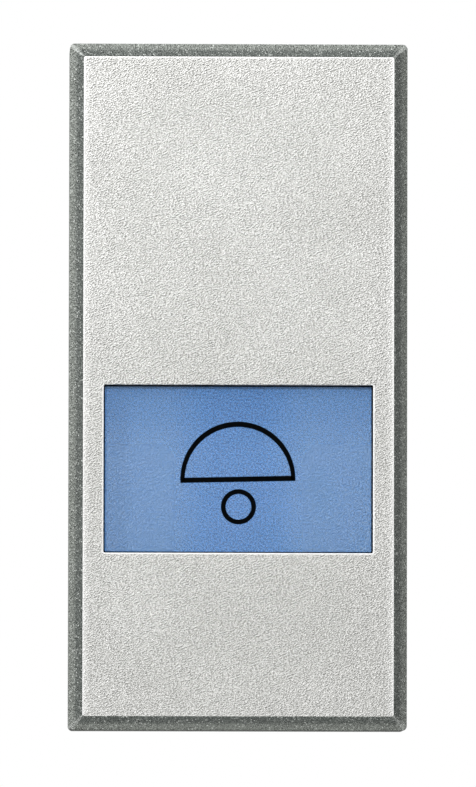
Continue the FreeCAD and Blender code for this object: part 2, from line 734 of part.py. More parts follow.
def rearCover():
    body = newBody("rear_cover", y="housing_depth")
    plate = rectangle("0", "0", "housing_width", "housing_height", "housing_corner")
    extrude(body, "Plate", "XZ", "0", "rear_cover_depth", plate)
    for end in (-1, 1):
        for side in (-1, 1):
            at = (f"{side} * terminal_spread", f"{end} * clamp_middle_z")
            name = f"Entry{end + 1}{side + 1}"
            loft(body, name + "Funnel", [
                ("rear_cover_depth - entry_funnel", rectangle(*at, "rear_entry_width", "rear_entry_height")),
                ("rear_cover_depth", rectangle(
                    *at,
                    "rear_entry_width + 2 * entry_funnel",
                    "rear_entry_height + 2 * entry_funnel",
                )),
            ], cut=True)
            hole = rectangle(*at, "rear_entry_width", "rear_entry_height")
            extrude(body, name, "XZ", "0", "rear_cover_depth - entry_funnel", hole, cut=True)
        at = ("0", f"{end} * cover_screw_height")
        sink = (*at, "cover_screw_head_radius + screw_clearance")
        under = "rear_cover_depth - cover_screw_head_depth"
        extrude(body, f"Sink{end + 1}", "XZ", under, "rear_cover_depth", sink, cut=True)
        hole = (*at, "cover_screw_radius + screw_clearance")
        extrude(body, f"ScrewHole{end + 1}", "XZ", "0", under, hole, cut=True)


def coverScrews():
    # Local Y starts under the head, and the point lies toward the room
    for name, height in (("lower", "-cover_screw_height"), ("upper", "cover_screw_height")):
        seat = "housing_depth + rear_cover_depth - cover_screw_head_depth"
        body = newBody(f"cover_screw_{name}", y=seat, z=height)
        reach = "cover_screw_length - cover_screw_end_gap + rear_cover_depth - cover_screw_head_depth"
        turned(body, "Screw", [
            ("cover_screw_head_depth", "0"),
            ("cover_screw_head_depth", "cover_screw_head_radius - cover_screw_head_edge"),
            ("cover_screw_head_depth - cover_screw_head_edge", "cover_screw_head_radius"),
            ("0", "cover_screw_head_radius"),
            ("0", "cover_screw_radius"),
            (f"-({reach}) + cover_screw_point", "cover_screw_radius"),
            (f"-({reach})", "0"),
        ])
        floor = "cover_screw_head_depth - cross_depth"
        bars = (("cross_length", "cross_width"), ("cross_width", "cross_length"))
        for number, (width, height) in enumerate(bars):
            cross = rectangle("0", "0", width, height)
            extrude(body, f"Cross{number}", "XZ", floor, "cover_screw_head_depth", cross, cut=True)


def retainingClips():
    # A bent spring-steel leaf: flat under its strap, rising to a hook at the front
    for name, turn in (("upper", 0), ("lower", 180)):
        body = newBody(f"retaining_clip_{name}", turn=turn)
        base = "housing_height / 2 + clip_fit"
        top = f"{base} + clip_thickness"
        peak = f"{base} + clip_rise"
        leaf = [
            ("clip_end", base),
            ("clip_end", top),
            ("clip_bend", top),
            ("clip_front + clip_thickness", peak),
            ("clip_front", f"{peak} - clip_thickness / 3"),
            ("clip_front", f"{peak} - clip_thickness - clip_hook"),
            ("clip_front + clip_thickness", f"{peak} - clip_thickness - clip_hook"),
            ("clip_front + clip_thickness", f"{peak} - clip_thickness"),
            ("clip_bend", base),
        ]
        extrude(body, "Leaf", "YZ", "-clip_width / 2", "clip_width / 2", leaf)


def guidePlate():
    body = newBody("guide_plate")
    width = "throat_width - 2 * guide_side_gap"
    top = "-(partition_drop + partition_wall / 2 + guide_side_gap)"
    bottom = "-(housing_inner_height / 2 - guide_side_gap)"
    plate = rectangle("0", f"({top} + {bottom}) / 2", width, f"{top} - ({bottom})")
    extrude(body, "Plate", "XZ", "guide_front", "guide_back_y", plate)
    boss = ("0", "-plunger_drop", "guide_boss_radius")
    extrude(body, "Boss", "XZ", "guide_back_y", "guide_back_y + guide_boss_depth", boss)
    bore = ("0", "-plunger_drop", "stem_radius + stem_fit")
    extrude(body, "Bore", "XZ", "guide_front", "guide_back_y + guide_boss_depth", bore, cut=True)


def plunger():
    body = newBody("plunger", z="-plunger_drop")
    head = rectangle("0", "0", "plunger_head_width", "plunger_head_height", "plunger_head_corner")
    extrude(body, "Head", "XZ", "plunger_front_y", "plunger_head_back_y", head)
    turned(body, "Stem", [
        ("plunger_head_back_y - join", "0"),
        ("plunger_head_back_y - join", "stem_radius"),
        ("stem_back_y", "stem_radius"),
        ("stem_back_y", "neck_radius"),
        ("bridge_back_y", "neck_radius"),
        ("bridge_back_y", "groove_radius"),
        ("ring_back_y", "groove_radius"),
        ("ring_back_y", "neck_radius"),
        ("neck_back_y - neck_chamfer", "neck_radius"),
        ("neck_back_y", "neck_radius - neck_chamfer"),
        ("neck_back_y", "0"),
    ])


def coilSpring(label, front, back, radius, wire, turns):
    # An open coil standing along Y on the plunger's axis, in straight runs so that it stays light
    thickness = measure(wire)
    start = measure(front) + thickness + measure("spring_seat")
    rise = measure(back) - thickness - measure("spring_seat") - start
    steps = int(measure("coil_steps") * measure(turns))
    path = []
    for step in range(steps + 1):
        angle = 2 * math.pi * step / measure("coil_steps")
        across = measure(radius) * math.cos(angle)
        up = measure(radius) * math.sin(angle)
        path.append(FreeCAD.Vector(across, start + rise * step / steps, up))
    along = FreeCAD.Rotation(FreeCAD.Vector(0, 0, 1), path[1] - path[0])
    section = []
    for corner in range(int(measure("wire_sides")) + 1):
        angle = 2 * math.pi * corner / measure("wire_sides")
        spoke = FreeCAD.Vector(thickness * math.cos(angle), thickness * math.sin(angle), 0)
        section.append(path[0] + along.multVec(spoke))
    spring = document.addObject("Part::Feature", label)
    spring.Label = label
    spring.Shape = Part.makePolygon(path).makePipeShell([Part.makePolygon(section)], True, True, 1)
    spring.Placement = FreeCAD.Placement(FreeCAD.Vector(0, 0, -measure("plunger_drop")), FreeCAD.Rotation())
    subParts.append(spring)


def contactBridge():
    body = newBody("contact_bridge", z="-plunger_drop")
    strap = rectangle("0", "0", "bridge_length", "bridge_width", "bridge_corner")
    extrude(body, "Strap", "XZ", "bridge_front_y", "bridge_back_y", strap)
    hole = ("0", "0", "neck_radius + bridge_fit")
    extrude(body, "Hole", "XZ", "bridge_front_y", "bridge_back_y", hole, cut=True)


def retainingRing():
    body = newBody("retaining_ring", z="-plunger_drop")
    back = "ring_back_y - ring_fit"
    extrude(body, "Disc", "XZ", "bridge_back_y + ring_fit", back, ("0", "0", "ring_radius"))
    hole = ("0", "0", "groove_radius + ring_fit")
    extrude(body, "Hole", "XZ", "bridge_back_y + ring_fit", back, hole, cut=True)
    slot = rectangle("0", "-ring_radius", "ring_slot", "2 * ring_radius")
    extrude(body, "Slot", "XZ", "bridge_back_y + ring_fit", back, slot, cut=True)


def contactTips():
    # Riveted silver tips: crowned on the bridge, flatter on the strips
    for name, side in (("left", "-tip_spread"), ("right", "tip_spread")):
        body = newBody(f"moving_tip_{name}", x=side, y="bridge_back_y", z="-plunger_drop")
        turned(body, "Tip", [
            ("0", "0"),
            ("0", "tip_radius"),
            ("tip_height - tip_crown", "tip_radius"),
            ("tip_height", "moving_tip_flat"),
            ("tip_height", "0"),
        ])
        body = newBody(f"fixed_tip_{name}", x=side, y="strip_front_y", z="-plunger_drop")
        turned(body, "Tip", [
            ("0", "0"),
            ("0", "tip_radius"),
            ("-tip_height + tip_crown / 2", "tip_radius"),
            ("-tip_height", "fixed_tip_flat"),
            ("-tip_height", "0"),
        ])


def contactStrips():
    # Bent brass strips that end inside the clamps
    lie = "strip_lie_z"
    under = "strip_lie_z + strip_thickness"
    foot = "plunger_drop + strip_foot"
    switchStrip = [
        ("strip_front_y", f"-({foot})"),
        ("strip_back_y", f"-({foot})"),
        ("strip_back_y", f"-({under})"),
        ("strip_end_y", f"-({under})"),
        ("strip_end_y", f"-({lie})"),
        ("strip_front_y", f"-({lie})"),
    ]
    padZ = "-window_drop + board_height / 2 - lamp_pad_drop"
    padTop = f"{padZ} + strip_thickness"
    lampStrip = [
        ("board_back_y", padZ),
        ("lamp_strip_start + strip_thickness", padZ),
        ("lamp_strip_start + strip_thickness", lie),
        ("strip_end_y", lie),
        ("strip_end_y", under),
        ("lamp_strip_start", under),
        ("lamp_strip_start", padTop),
        ("board_back_y", padTop),
    ]
    for side, place in (("left", "-terminal_spread"), ("right", "terminal_spread")):
        for label, profile in (("switch_strip", switchStrip), ("lamp_strip", lampStrip)):
            body = newBody(f"{label}_{side}", x=place)
            extrude(body, "Strip", "YZ", "-strip_width / 2", "strip_width / 2", profile)


def terminals():
    # A brass box clamp and its screw, at each corner of the back
    for level, turn in (("upper", 0), ("lower", 180)):
        for side, across in (("left", -1), ("right", 1)):
            place = f"{across} * terminal_spread"
            body = newBody(f"terminal_clamp_{level}_{side}", x=place, y="terminal_start", turn=turn)
            middle = "(clamp_outer_z + clamp_inner_z) / 2"
            block = rectangle("0", middle, "clamp_width", "clamp_height")
            extrude(body, "Block", "XZ", "0", "clamp_depth", block)
            mouth = rectangle("0", "clamp_middle_z", "clamp_width - 2 * clamp_wall", "clamp_mouth")
            extrude(body, "Mouth", "XZ", "0", "clamp_depth", mouth, cut=True)
            thread = ("0", "clamp_depth / 2", "clamp_screw_radius + clamp_screw_fit")
            wall = "clamp_outer_z - clamp_thread_wall - overcut"
            extrude(body, "Thread", "XY", wall, "clamp_outer_z", thread, cut=True)
            screw = newBody(f"clamp_screw_{level}_{side}", x=place, y="clamp_screw_y", turn=turn)
            tip = "clamp_outer_z - clamp_thread_wall - clamp_screw_reach"
            seat = "clamp_outer_z + clamp_head_lift"
            top = f"{seat} + clamp_head_depth"
            extrude(screw, "Shank", "XY", tip, f"{seat} + join", ("0", "0", "clamp_screw_radius"))
            extrude(screw, "Head", "XY", seat, top, ("0", "0", "clamp_head_radius"))
            slot = rectangle("0", "0", "2 * clamp_head_radius + join", "clamp_slot_width")
            extrude(screw, "Slot", "XY", f"{top} - clamp_slot_depth", top, slot, cut=True)


# The lamp behind the window
def frustum(label, front, back):
    # Flat-sided block between two rectangles across Y: (place, width, height)
    block = document.addObject("Part::Wedge", label)
    for level, (place, width, height) in (("", front), ("2", back)):
        bind(block, "Ymax" if level else "Ymin", place)
        for axis, span in (("X", width), ("Z", height)):
            bind(block, f"{axis}{level}min", f"-({span}) / 2")
            bind(block, f"{axis}{level}max", f"({span}) / 2")
    return block


def lightTunnel():
    # A white funnel that carries the lamp's light to the diffuser
    hollow = "- 2 * tunnel_wall"
    tunnel = document.addObject("Part::Cut", "light_tunnel")
    tunnel.Base = frustum(
        "TunnelOutside",
        ("tunnel_front_y", "tunnel_width", "tunnel_height"),
        ("board_front", "tunnel_rear", "tunnel_rear"),
    )
    tunnel.Tool = frustum(
        "TunnelInside",
        ("tunnel_front_y", "tunnel_width" + hollow, "tunnel_height" + hollow),
        ("board_front", "tunnel_rear" + hollow, "tunnel_rear" + hollow),
    )
    tunnel.Label = "light_tunnel"
    bind(tunnel, ".Placement.Base.z", "-window_drop")
    subParts.append(tunnel)


def lampBoard():
    body = newBody("lamp_board", z="-window_drop")
    board = rectangle("0", "0", "board_width", "board_height", "board_corner")
    extrude(body, "Board", "XZ", "board_front", "board_back_y", board)
    lamp = newBody("led_lamp", y="board_front", z="-window_drop")
    turned(lamp, "Lens", [
        ("0", "0"),
        ("0", "led_base_radius"),
        ("-led_base_depth", "led_base_radius"),
        ("-led_base_depth", "led_radius"),
        ("-led_length + led_radius", "led_radius"),
        ("-led_length", "led_flat"),
        ("-led_length", "0"),
    ])


def seriesResistor():
    body = newBody("series_resistor", y="board_back_y", z="-window_drop")
    half = "resistor_length / 2"
    lead = "resistor_lead_radius"
    extrude(body, "Core", "YZ", f"-{half}", half, ("resistor_height", "0", "resistor_radius"))
    span = "resistor_lead_span / 2"
    extrude(body, "Lead", "YZ", f"-{span}", span, ("resistor_height", "0", lead))
    for side in (-1, 1):
        foot = rectangle(f"{side} * ({span} - {lead})", "0", f"2 * {lead}", "resistor_foot_height")
        extrude(body, f"Foot{side + 1}", "XZ", "0", "resistor_height", foot)


def buildAll():
    fillSheet()
    keyCover()
    windowLens()
    labelCard()
    lightDiffuser()
    keyCarrier()
    pivotPin()
    frontFrame()
    housing()
    rearCover()
    coverScrews()
    retainingClips()
    guidePlate()
    plunger()
    coilSpring("return_spring", "plunger_head_back_y", "guide_front", "return_coil_radius",
               "return_wire_radius", "return_coil_turns")
    coilSpring("contact_spring", "stem_back_y", "bridge_front_y", "contact_coil_radius",
               "contact_wire_radius", "contact_coil_turns")
    contactBridge()
    retainingRing()
    contactTips()
    contactStrips()
    terminals()
    lightTunnel()
    lampBoard()
    seriesResistor()
    document.recompute()


def checkAll():
    # Nothing may have failed quietly, and every cut must have taken something away
    for item in document.Objects:
        if {"Invalid", "Error"} & set(item.State):
            raise RuntimeError(f"{item.Label} failed: {item.State}")
        if item.TypeId in ("PartDesign::Pocket", "PartDesign::SubtractiveLoft"):
            if item.Shape.Volume > item.BaseFeature.Shape.Volume - 0.0001:
                raise RuntimeError(f"{item.Label} of {item.getParentGeoFeatureGroup().Label} cuts nothing")


def writeParts():
    os.makedirs("parts", exist_ok=True)
    for part in subParts:
        shape = part.Shape
        if shape.isNull() or not shape.isValid() or len(shape.Solids) != 1:
            raise RuntimeError(f"{part.Label} is not one sound solid")
    for part in subParts:
        part.Shape.exportStep(f"parts/{part.Label}.step")
        box = part.Shape.BoundBox
        print(f"{part.Label}: {part.Shape.Volume:.2f} mm3, y {box.YMin:.2f} to {box.YMax:.2f}")


buildAll()
checkAll()
writeParts()
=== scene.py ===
import math

import bmesh
import bpy
from mathutils import Matrix, Vector


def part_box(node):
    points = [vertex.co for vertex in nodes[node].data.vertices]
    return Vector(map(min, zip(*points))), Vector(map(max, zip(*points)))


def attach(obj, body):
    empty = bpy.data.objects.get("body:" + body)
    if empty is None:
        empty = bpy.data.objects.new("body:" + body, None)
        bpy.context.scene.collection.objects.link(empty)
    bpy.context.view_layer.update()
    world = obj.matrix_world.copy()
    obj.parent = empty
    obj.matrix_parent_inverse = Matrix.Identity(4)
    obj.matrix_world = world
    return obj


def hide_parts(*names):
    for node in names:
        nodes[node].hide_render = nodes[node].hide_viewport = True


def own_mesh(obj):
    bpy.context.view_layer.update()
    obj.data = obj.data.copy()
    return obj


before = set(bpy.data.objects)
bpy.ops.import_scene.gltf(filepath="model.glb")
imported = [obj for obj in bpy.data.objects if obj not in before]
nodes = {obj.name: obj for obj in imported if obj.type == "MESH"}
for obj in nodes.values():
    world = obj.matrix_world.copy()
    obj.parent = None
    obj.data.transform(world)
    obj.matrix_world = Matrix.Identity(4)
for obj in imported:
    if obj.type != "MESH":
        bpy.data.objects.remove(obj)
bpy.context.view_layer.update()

# Doorbell push button, one place of a modular wall plate.
# Blender works in metres and the sizes below are millimetres, so every length passes through mm
mm = 0.001
# Noise stays mostly between these two values
noiseSpan = (0.3, 0.7)


# Helpers for colours and shader nodes
def hexColor(text):
    # sRGB hex to the linear colour that the shaders expect
    parts = [int(text[i:i + 2], 16) / 255 for i in (0, 2, 4)]
    return [c / 12.92 if c <= 0.04045 else ((c + 0.055) / 1.055) ** 2.4 for c in parts] + [1.0]


def plug(tree, socket, value):
    # A node given as a value stands for its first output in use
    if isinstance(value, bpy.types.Node):
        value = next(output for output in value.outputs if output.enabled)
    if isinstance(value, bpy.types.NodeSocket):
        tree.links.new(value, socket)
    else:
        socket.default_value = value


def addNode(tree, kind, inputs=(), **settings):
    # Inputs are values, nodes or outputs, by name or in the order of the node's sockets in use
    node = tree.nodes.new(kind)
    for name, value in settings.items():
        setattr(node, name, value)
    if isinstance(inputs, dict):
        pairs = [(node.inputs[name], value) for name, value in inputs.items()]
    else:
        pairs = zip([socket for socket in node.inputs if socket.enabled], inputs)
    for socket, value in pairs:
        plug(tree, socket, value)
    return node


def newMaterial(name, shaderInputs):
    material = bpy.data.materials.new(name)
    material.use_nodes = True
    tree = material.node_tree
    tree.nodes.clear()
    shader = addNode(tree, "ShaderNodeBsdfPrincipled", shaderInputs)
    addNode(tree, "ShaderNodeOutputMaterial", {"Surface": shader})
    place = addNode(tree, "ShaderNodeTexCoord").outputs["Object"]
    return material, tree, shader, place


# Silver lacquer with aluminium flake, sprayed on the moulded key cover
facePaint = {
    "light": "f3f3f1",
    "dark": "c5c5c1",
    # Painted highlight along the face's edges and the window's lower and side edges
    "edge": "ffffff",
    "grainMm": 0.088,        # fine pebbles of the eroded mould under the lacquer
    "grainDepthMm": 0.19,
    "grainStretch": (0.72, 1.0, 1.05),
    "grainSlope": 20,
    "cloudMm": 7.0,
    "cloudTone": 0.1,
    "edgeRelief": 0.2,       # share of the pebbles' depth left on the edges, where the lacquer runs smooth
    "metallic": 0.08,
    "specular": 0.3,
    "roughness": 0.45,
}
bevelPaint = {
    "outer": "979c96",       # by the shoulder; painted shade, darker than the face, as the bevel faces away from the lamps
    "inner": "666c68",       # under the face's edge, deeper painted shade
    "change": (0.35, 0.6),   # where the outer colour starts and ends to turn into the inner one
    "wall": "474b46",        # straight sides behind the shoulder: painted shade, most of all on the lower one, which faces down
    "pit": "343836",
    "pitShare": 0.36,
    "flake": "d8dcd8",
    "flakeShare": 0.28,
    "flakeMm": 0.11,
    "mitre": "e4e8e4",       # painted highlight where two bevels meet, where the rounded mitres catch the light
    "mitreHighlightShare": 0.6,
    "grainMm": 0.1,
    "grainDepthMm": 0.32,
    "metallic": 0.08,
    "specular": 0.3,
    "roughness": 0.5,
}


def paintedWith(name, s):
    return newMaterial(name, {
        "Metallic": s["metallic"], "Roughness": s["roughness"], "Specular IOR Level": s["specular"],
    })


def slantedPebbles(tree, place, s):
    # Pebbles of the etched mould, which run a little longer along a shallow slope
    slope = (0, math.radians(s["grainSlope"]), 0)
    turned = addNode(tree, "ShaderNodeMapping", {"Vector": place, "Rotation": slope})
    drawn = addNode(tree, "ShaderNodeMapping", {"Vector": turned, "Scale": s["grainStretch"]})
    pebble = {"Vector": drawn, "Scale": 1 / (s["grainMm"] * mm), "Detail": 0.0}
    return addNode(tree, "ShaderNodeTexNoise", pebble)


def silverFace(s):
    # ABS sprayed with aluminium-flake lacquer: pale, with a wriggly satin grain, and painted highlight lines
    # along the edges of the face and the window
    material, tree, shader, place = paintedWith("silverLacquerOnABS", s)
    pebbles = slantedPebbles(tree, place, s)
    cloud = {"Vector": place, "Scale": 1 / (s["cloudMm"] * mm), "Detail": 1.0}
    clouds = addNode(tree, "ShaderNodeTexNoise", cloud)
    grainTone = addNode(tree, "ShaderNodeMapRange", (pebbles, 0.35, 0.65))
    cloudTone = addNode(tree, "ShaderNodeMapRange", (clouds, *noiseSpan, -s["cloudTone"], s["cloudTone"]))
    tone = addNode(tree, "ShaderNodeMath", (grainTone, cloudTone), operation="ADD")
    tones = (tone, hexColor(s["dark"]), hexColor(s["light"]))
    color = addNode(tree, "ShaderNodeMix", tones, data_type="RGBA")
    zones = addNode(tree, "ShaderNodeAttribute", attribute_name="paintedLightZones").outputs["Vector"]
    paintedEdgeHighlight = addNode(tree, "ShaderNodeSeparateXYZ", (zones,)).outputs["X"]
    color = addNode(tree, "ShaderNodeMix", (paintedEdgeHighlight, color, hexColor(s["edge"])), data_type="RGBA")
    plug(tree, shader.inputs["Base Color"], color)
    strength = addNode(tree, "ShaderNodeMapRange", (paintedEdgeHighlight, 0.0, 0.6, 1.0, s["edgeRelief"]))
    relief = {"Height": pebbles, "Distance": s["grainDepthMm"] * mm, "Strength": strength}
    plug(tree, shader.inputs["Normal"], addNode(tree, "ShaderNodeBump", relief))
    return material


def silverBevel(s):
    # The same lacquer on the bevel, with bright specks; its colour is painted dark as shade, since the bevel
    # turns away from the lamps, and darker still under the face's edge
    material, tree, shader, place = paintedWith("silverLacquerOnBevelPaintedShade", s)
    mottle = addNode(tree, "ShaderNodeTexNoise", {
        "Vector": place, "Scale": 1 / (s["grainMm"] * mm), "Detail": 0.0,
    })
    cells = addNode(tree, "ShaderNodeTexVoronoi", {"Vector": place, "Scale": 1 / (s["flakeMm"] * mm)})
    lot = addNode(tree, "ShaderNodeSeparateColor", (cells.outputs["Color"],))
    chosen = addNode(tree, "ShaderNodeMapRange", (lot, 0.8, 0.9))
    nearMiddle = addNode(tree, "ShaderNodeMapRange", (cells.outputs["Distance"], 0.3, 0.6, 1.0, 0.0))
    speck = addNode(tree, "ShaderNodeMath", (chosen, nearMiddle), operation="MULTIPLY")
    zones = addNode(tree, "ShaderNodeAttribute", attribute_name="paintedLightZones").outputs["Vector"]
    wall, rise, mitre = addNode(tree, "ShaderNodeSeparateXYZ", (zones,)).outputs
    paintedShadeUnderFace = addNode(tree, "ShaderNodeMapRange", (rise, *s["change"]))
    paintedMitreHighlight = addNode(tree, "ShaderNodeMath", (mitre, s["mitreHighlightShare"]), operation="MULTIPLY")
    inPits = addNode(tree, "ShaderNodeMapRange", (mottle, 0.5, 0.25, 0.0, s["pitShare"]))
    onFlakes = addNode(tree, "ShaderNodeMapRange", (mottle, 0.5, 0.75, 0.0, s["flakeShare"]))
    color = hexColor(s["outer"])
    # Painted shade under the face's edge and on the walls, a painted highlight on the mitres, then the
    # grain's pits and flakes
    for share, tone in ((paintedShadeUnderFace, "inner"), (paintedMitreHighlight, "mitre"), (inPits, "pit"), (onFlakes, "flake"),
                        (speck, "flake"), (wall, "wall")):
        color = addNode(tree, "ShaderNodeMix", (share, color, hexColor(s[tone])), data_type="RGBA")
    plug(tree, shader.inputs["Base Color"], color)
    relief = {"Height": mottle, "Distance": s["grainDepthMm"] * mm, "Strength": 1.0}
    plug(tree, shader.inputs["Normal"], addNode(tree, "ShaderNodeBump", relief))
    return material


# Moulded plastics: colour, grain of the mould and gloss
plastics = {
    "greyAbsInside": {"color": "8d8f90", "grainMm": 0.12, "depthMm": 0.006, "roughness": 0.5},
    "greyPolyamide": {"color": "54565a", "grainMm": 0.14, "depthMm": 0.012, "roughness": 0.55},
    "blackPolyamide": {"color": "222324", "grainMm": 0.12, "depthMm": 0.012, "roughness": 0.5},
    "whitePolycarbonate": {"color": "e6e6e0", "grainMm": 0.2, "depthMm": 0.005, "roughness": 0.38},
}
moulding = {"flowMm": 5.0, "flowTwist": 0.6, "paler": (1.18, 0.004), "grainTone": 0.25, "relief": 0.6,
            "glossChange": (-0.06, 0.08)}


def mouldedPlastic(name):
    # Injection-moulded: even colour with faint flow clouds and the matt spark-eroded grain of the tool
    s = plastics[name]
    material, tree, shader, place = newMaterial(name, {})
    factor, offset = moulding["paler"]
    deep = hexColor(s["color"])
    pale = [min(1.0, c * factor + offset) for c in deep]
    flow = addNode(tree, "ShaderNodeTexNoise", {
        "Vector": place, "Scale": 1 / (moulding["flowMm"] * mm), "Detail": 2.0,
        "Distortion": moulding["flowTwist"],
    })
    matt = addNode(tree, "ShaderNodeTexNoise", {
        "Vector": place, "Scale": 1 / (s["grainMm"] * mm), "Detail": 3.0,
    })
    flowTone = addNode(tree, "ShaderNodeMapRange", (flow, *noiseSpan))
    grainTone = addNode(tree, "ShaderNodeMapRange", (matt, 0.4, 0.75, 0.0, moulding["grainTone"]))
    color = addNode(tree, "ShaderNodeMix", (flowTone, deep, pale), data_type="RGBA")
    color = addNode(tree, "ShaderNodeMix", (grainTone, color, pale), data_type="RGBA")
    plug(tree, shader.inputs["Base Color"], color)
    ends = [s["roughness"] + change for change in moulding["glossChange"]]
    plug(tree, shader.inputs["Roughness"], addNode(tree, "ShaderNodeMapRange", (matt, *noiseSpan, *ends)))
    relief = {"Height": matt, "Distance": s["depthMm"] * mm, "Strength": moulding["relief"]}
    plug(tree, shader.inputs["Normal"], addNode(tree, "ShaderNodeBump", relief))
    return material


# Metals: two tones, how the tool's streaks are stretched along X, Y and Z, and gloss
metals = {
    "rolledSpringSteel": {"color": "b9bbbd", "tint": "94979b", "streaks": (60, 900, 60), "roughness": 0.28},
    "zincPlatedSteel": {"color": "c6cacf", "tint": "a0a9b5", "streaks": (300, 300, 300), "roughness": 0.34},
    "stampedBrass": {"color": "cba75f", "tint": "ab853f", "streaks": (900, 60, 60), "roughness": 0.3},
    "silverAlloy": {"color": "dcdad5", "tint": "bdb9b0", "streaks": (500, 500, 500), "roughness": 0.3},
}
metalwork = {"streakScale": 20.0, "streakDepthMm": 0.004, "relief": 0.4, "patchMm": 1.6,
             "glossChange": (-0.07, 0.1)}


def workedMetal(name):
    # Rolled, drawn or plated: fine streaks and a patchy gloss
    s = metals[name]
    material, tree, shader, place = newMaterial(name, {"Metallic": 1.0})
    stretched = addNode(tree, "ShaderNodeMapping", {"Vector": place, "Scale": s["streaks"]})
    streaks = addNode(tree, "ShaderNodeTexNoise", {
        "Vector": stretched, "Scale": metalwork["streakScale"], "Detail": 3.0,
    })
    patches = addNode(tree, "ShaderNodeTexNoise", {
        "Vector": place, "Scale": 1 / (metalwork["patchMm"] * mm), "Detail": 2.0,
    })
    streakTone = addNode(tree, "ShaderNodeMapRange", (streaks, *noiseSpan, 0.0, 0.5))
    patchTone = addNode(tree, "ShaderNodeMapRange", (patches, *noiseSpan, 0.0, 0.5))
    tone = addNode(tree, "ShaderNodeMath", (streakTone, patchTone), operation="ADD")
    tones = (tone, hexColor(s["tint"]), hexColor(s["color"]))
    plug(tree, shader.inputs["Base Color"], addNode(tree, "ShaderNodeMix", tones, data_type="RGBA"))
    ends = [s["roughness"] + change for change in metalwork["glossChange"]]
    plug(tree, shader.inputs["Roughness"], addNode(tree, "ShaderNodeMapRange", (patches, *noiseSpan, *ends)))
    relief = {"Height": streaks, "Distance": metalwork["streakDepthMm"] * mm, "Strength": metalwork["relief"]}
    plug(tree, shader.inputs["Normal"], addNode(tree, "ShaderNodeBump", relief))
    return material


# Clear parts and the film behind them
lensPlastic = {"color": "dfe9f5", "shade": "c8d6e6", "alpha": 0.03, "roughness": 0.12, "rippleMm": 1.5}
lensFront = {
    "color": "b8cfdc",
    "haze": 0.37,            # share of the room's light that the matt front scatters
    "middle": 0.6,           # of that haze behind the bell
    "sideReach": (0.2, 0.55),    # where the haze starts and ends to grow, in shares of the lens's half width
    "upper": 0.55,           # of that haze by the window's upper edge
    "shadeTop": 0.6,         # below the window's upper edge
    "shadeMm": 4.5,          # how far the shade of that edge reaches
    "cloudMm": 2.2,
    "grainMm": 0.09,
    "grainDepthMm": 0.45,
    "grainStretch": (0.8, 1.0, 1.2),
    "grainSlope": 20,
    "metallic": 0.0,
    "roughness": 0.5,
    "specular": 0.1,
}
lampPlastic = {"color": "e8f0fb", "shade": "c9d8ee", "alpha": 0.55, "roughness": 0.12, "rippleMm": 0.6}
clearMoulding = {"ior": 1.58, "rippleDepthMm": 0.002, "relief": 0.2}
labelFilm = {
    "middle": "2c4468",      # by day, behind the bell
    "side": "435f7e",
    "sideReach": (0.15, 0.5),
    "cloudMm": 2.2,
    "cloudTone": 0.15,
    "lamp": "4b7cb8",        # the light of the blue lamp behind it, painted on as the film's own glow
    "upperGlow": 0.85,       # share of that glow by the window's upper edge, painted shade
    "unlitEdge": 0.22,       # painted shadow of the window's upper edge: the glow is cut down from this far below that edge
    "unlitBlur": 0.05,
    "unlitGlow": 0.35,
    "dotMm": 0.11,           # grain of the opal plate behind the film
    "dotGlow": (0.5, 1.5),
    "metallic": 0.0,
    "roughness": 0.6,
    "specular": 0.1,
}
blackPrintAndGapShade = {"thick": "010203", "thin": "060807", "filmMm": 0.3,
       "metallic": 0.0, "roughness": 0.6, "specular": 0.02}


def clearPlastic(name, s):
    # Clear and glossy, so little shows but its edges
    material, tree, shader, place = newMaterial(name, {
        "Alpha": s["alpha"], "Roughness": s["roughness"], "IOR": clearMoulding["ior"],
    })
    wave = {"Vector": place, "Scale": 1 / (s["rippleMm"] * mm), "Detail": 1.0}
    ripple = addNode(tree, "ShaderNodeTexNoise", wave)
    tones = (ripple, hexColor(s["color"]), hexColor(s["shade"]))
    plug(tree, shader.inputs["Base Color"], addNode(tree, "ShaderNodeMix", tones, data_type="RGBA"))
    depth = clearMoulding["rippleDepthMm"] * mm
    relief = {"Height": ripple, "Distance": depth, "Strength": clearMoulding["relief"]}
    plug(tree, shader.inputs["Normal"], addNode(tree, "ShaderNodeBump", relief))
    return material


def belowWindowTop(tree, height, atTop):
    # From this share by the window's upper edge to 1 where its shade ends
    top = keyCover["windowZ"] + keyCover["windowHeight"] / 2 - lensFront["shadeTop"]
    ends = (top * mm, (top - lensFront["shadeMm"]) * mm)
    return addNode(tree, "ShaderNodeMapRange", (height, *ends, atTop, 1.0), interpolation_type="SMOOTHSTEP")


def mattLensFront(reach):
    # Eroded front of the lens: a thin bluish haze with the same pebbled grain as the cover
    s = lensFront
    material, tree, shader, place = paintedWith("mattPolycarbonateFront", s)
    pebbles = slantedPebbles(tree, place, s)
    cloud = {"Vector": place, "Scale": 1 / (s["cloudMm"] * mm), "Detail": 2.0}
    tones = (addNode(tree, "ShaderNodeTexNoise", cloud), hexColor(s["color"]), hexColor(lensPlastic["shade"]))
    plug(tree, shader.inputs["Base Color"], addNode(tree, "ShaderNodeMix", tones, data_type="RGBA"))
    across, _, height = addNode(tree, "ShaderNodeSeparateXYZ", (place,)).outputs
    side = addNode(tree, "ShaderNodeMath", (across,), operation="ABSOLUTE")
    ends = [share * reach for share in s["sideReach"]]
    haze = addNode(tree, "ShaderNodeMapRange", (side, *ends, s["haze"] * s["middle"], s["haze"]),
                   interpolation_type="SMOOTHSTEP")
    shade = belowWindowTop(tree, height, s["upper"])
    haze = addNode(tree, "ShaderNodeMath", (haze, shade), operation="MULTIPLY")
    plug(tree, shader.inputs["Alpha"], haze)
    relief = {"Height": pebbles, "Distance": s["grainDepthMm"] * mm, "Strength": 1.0}
    plug(tree, shader.inputs["Normal"], addNode(tree, "ShaderNodeBump", relief))
    return material


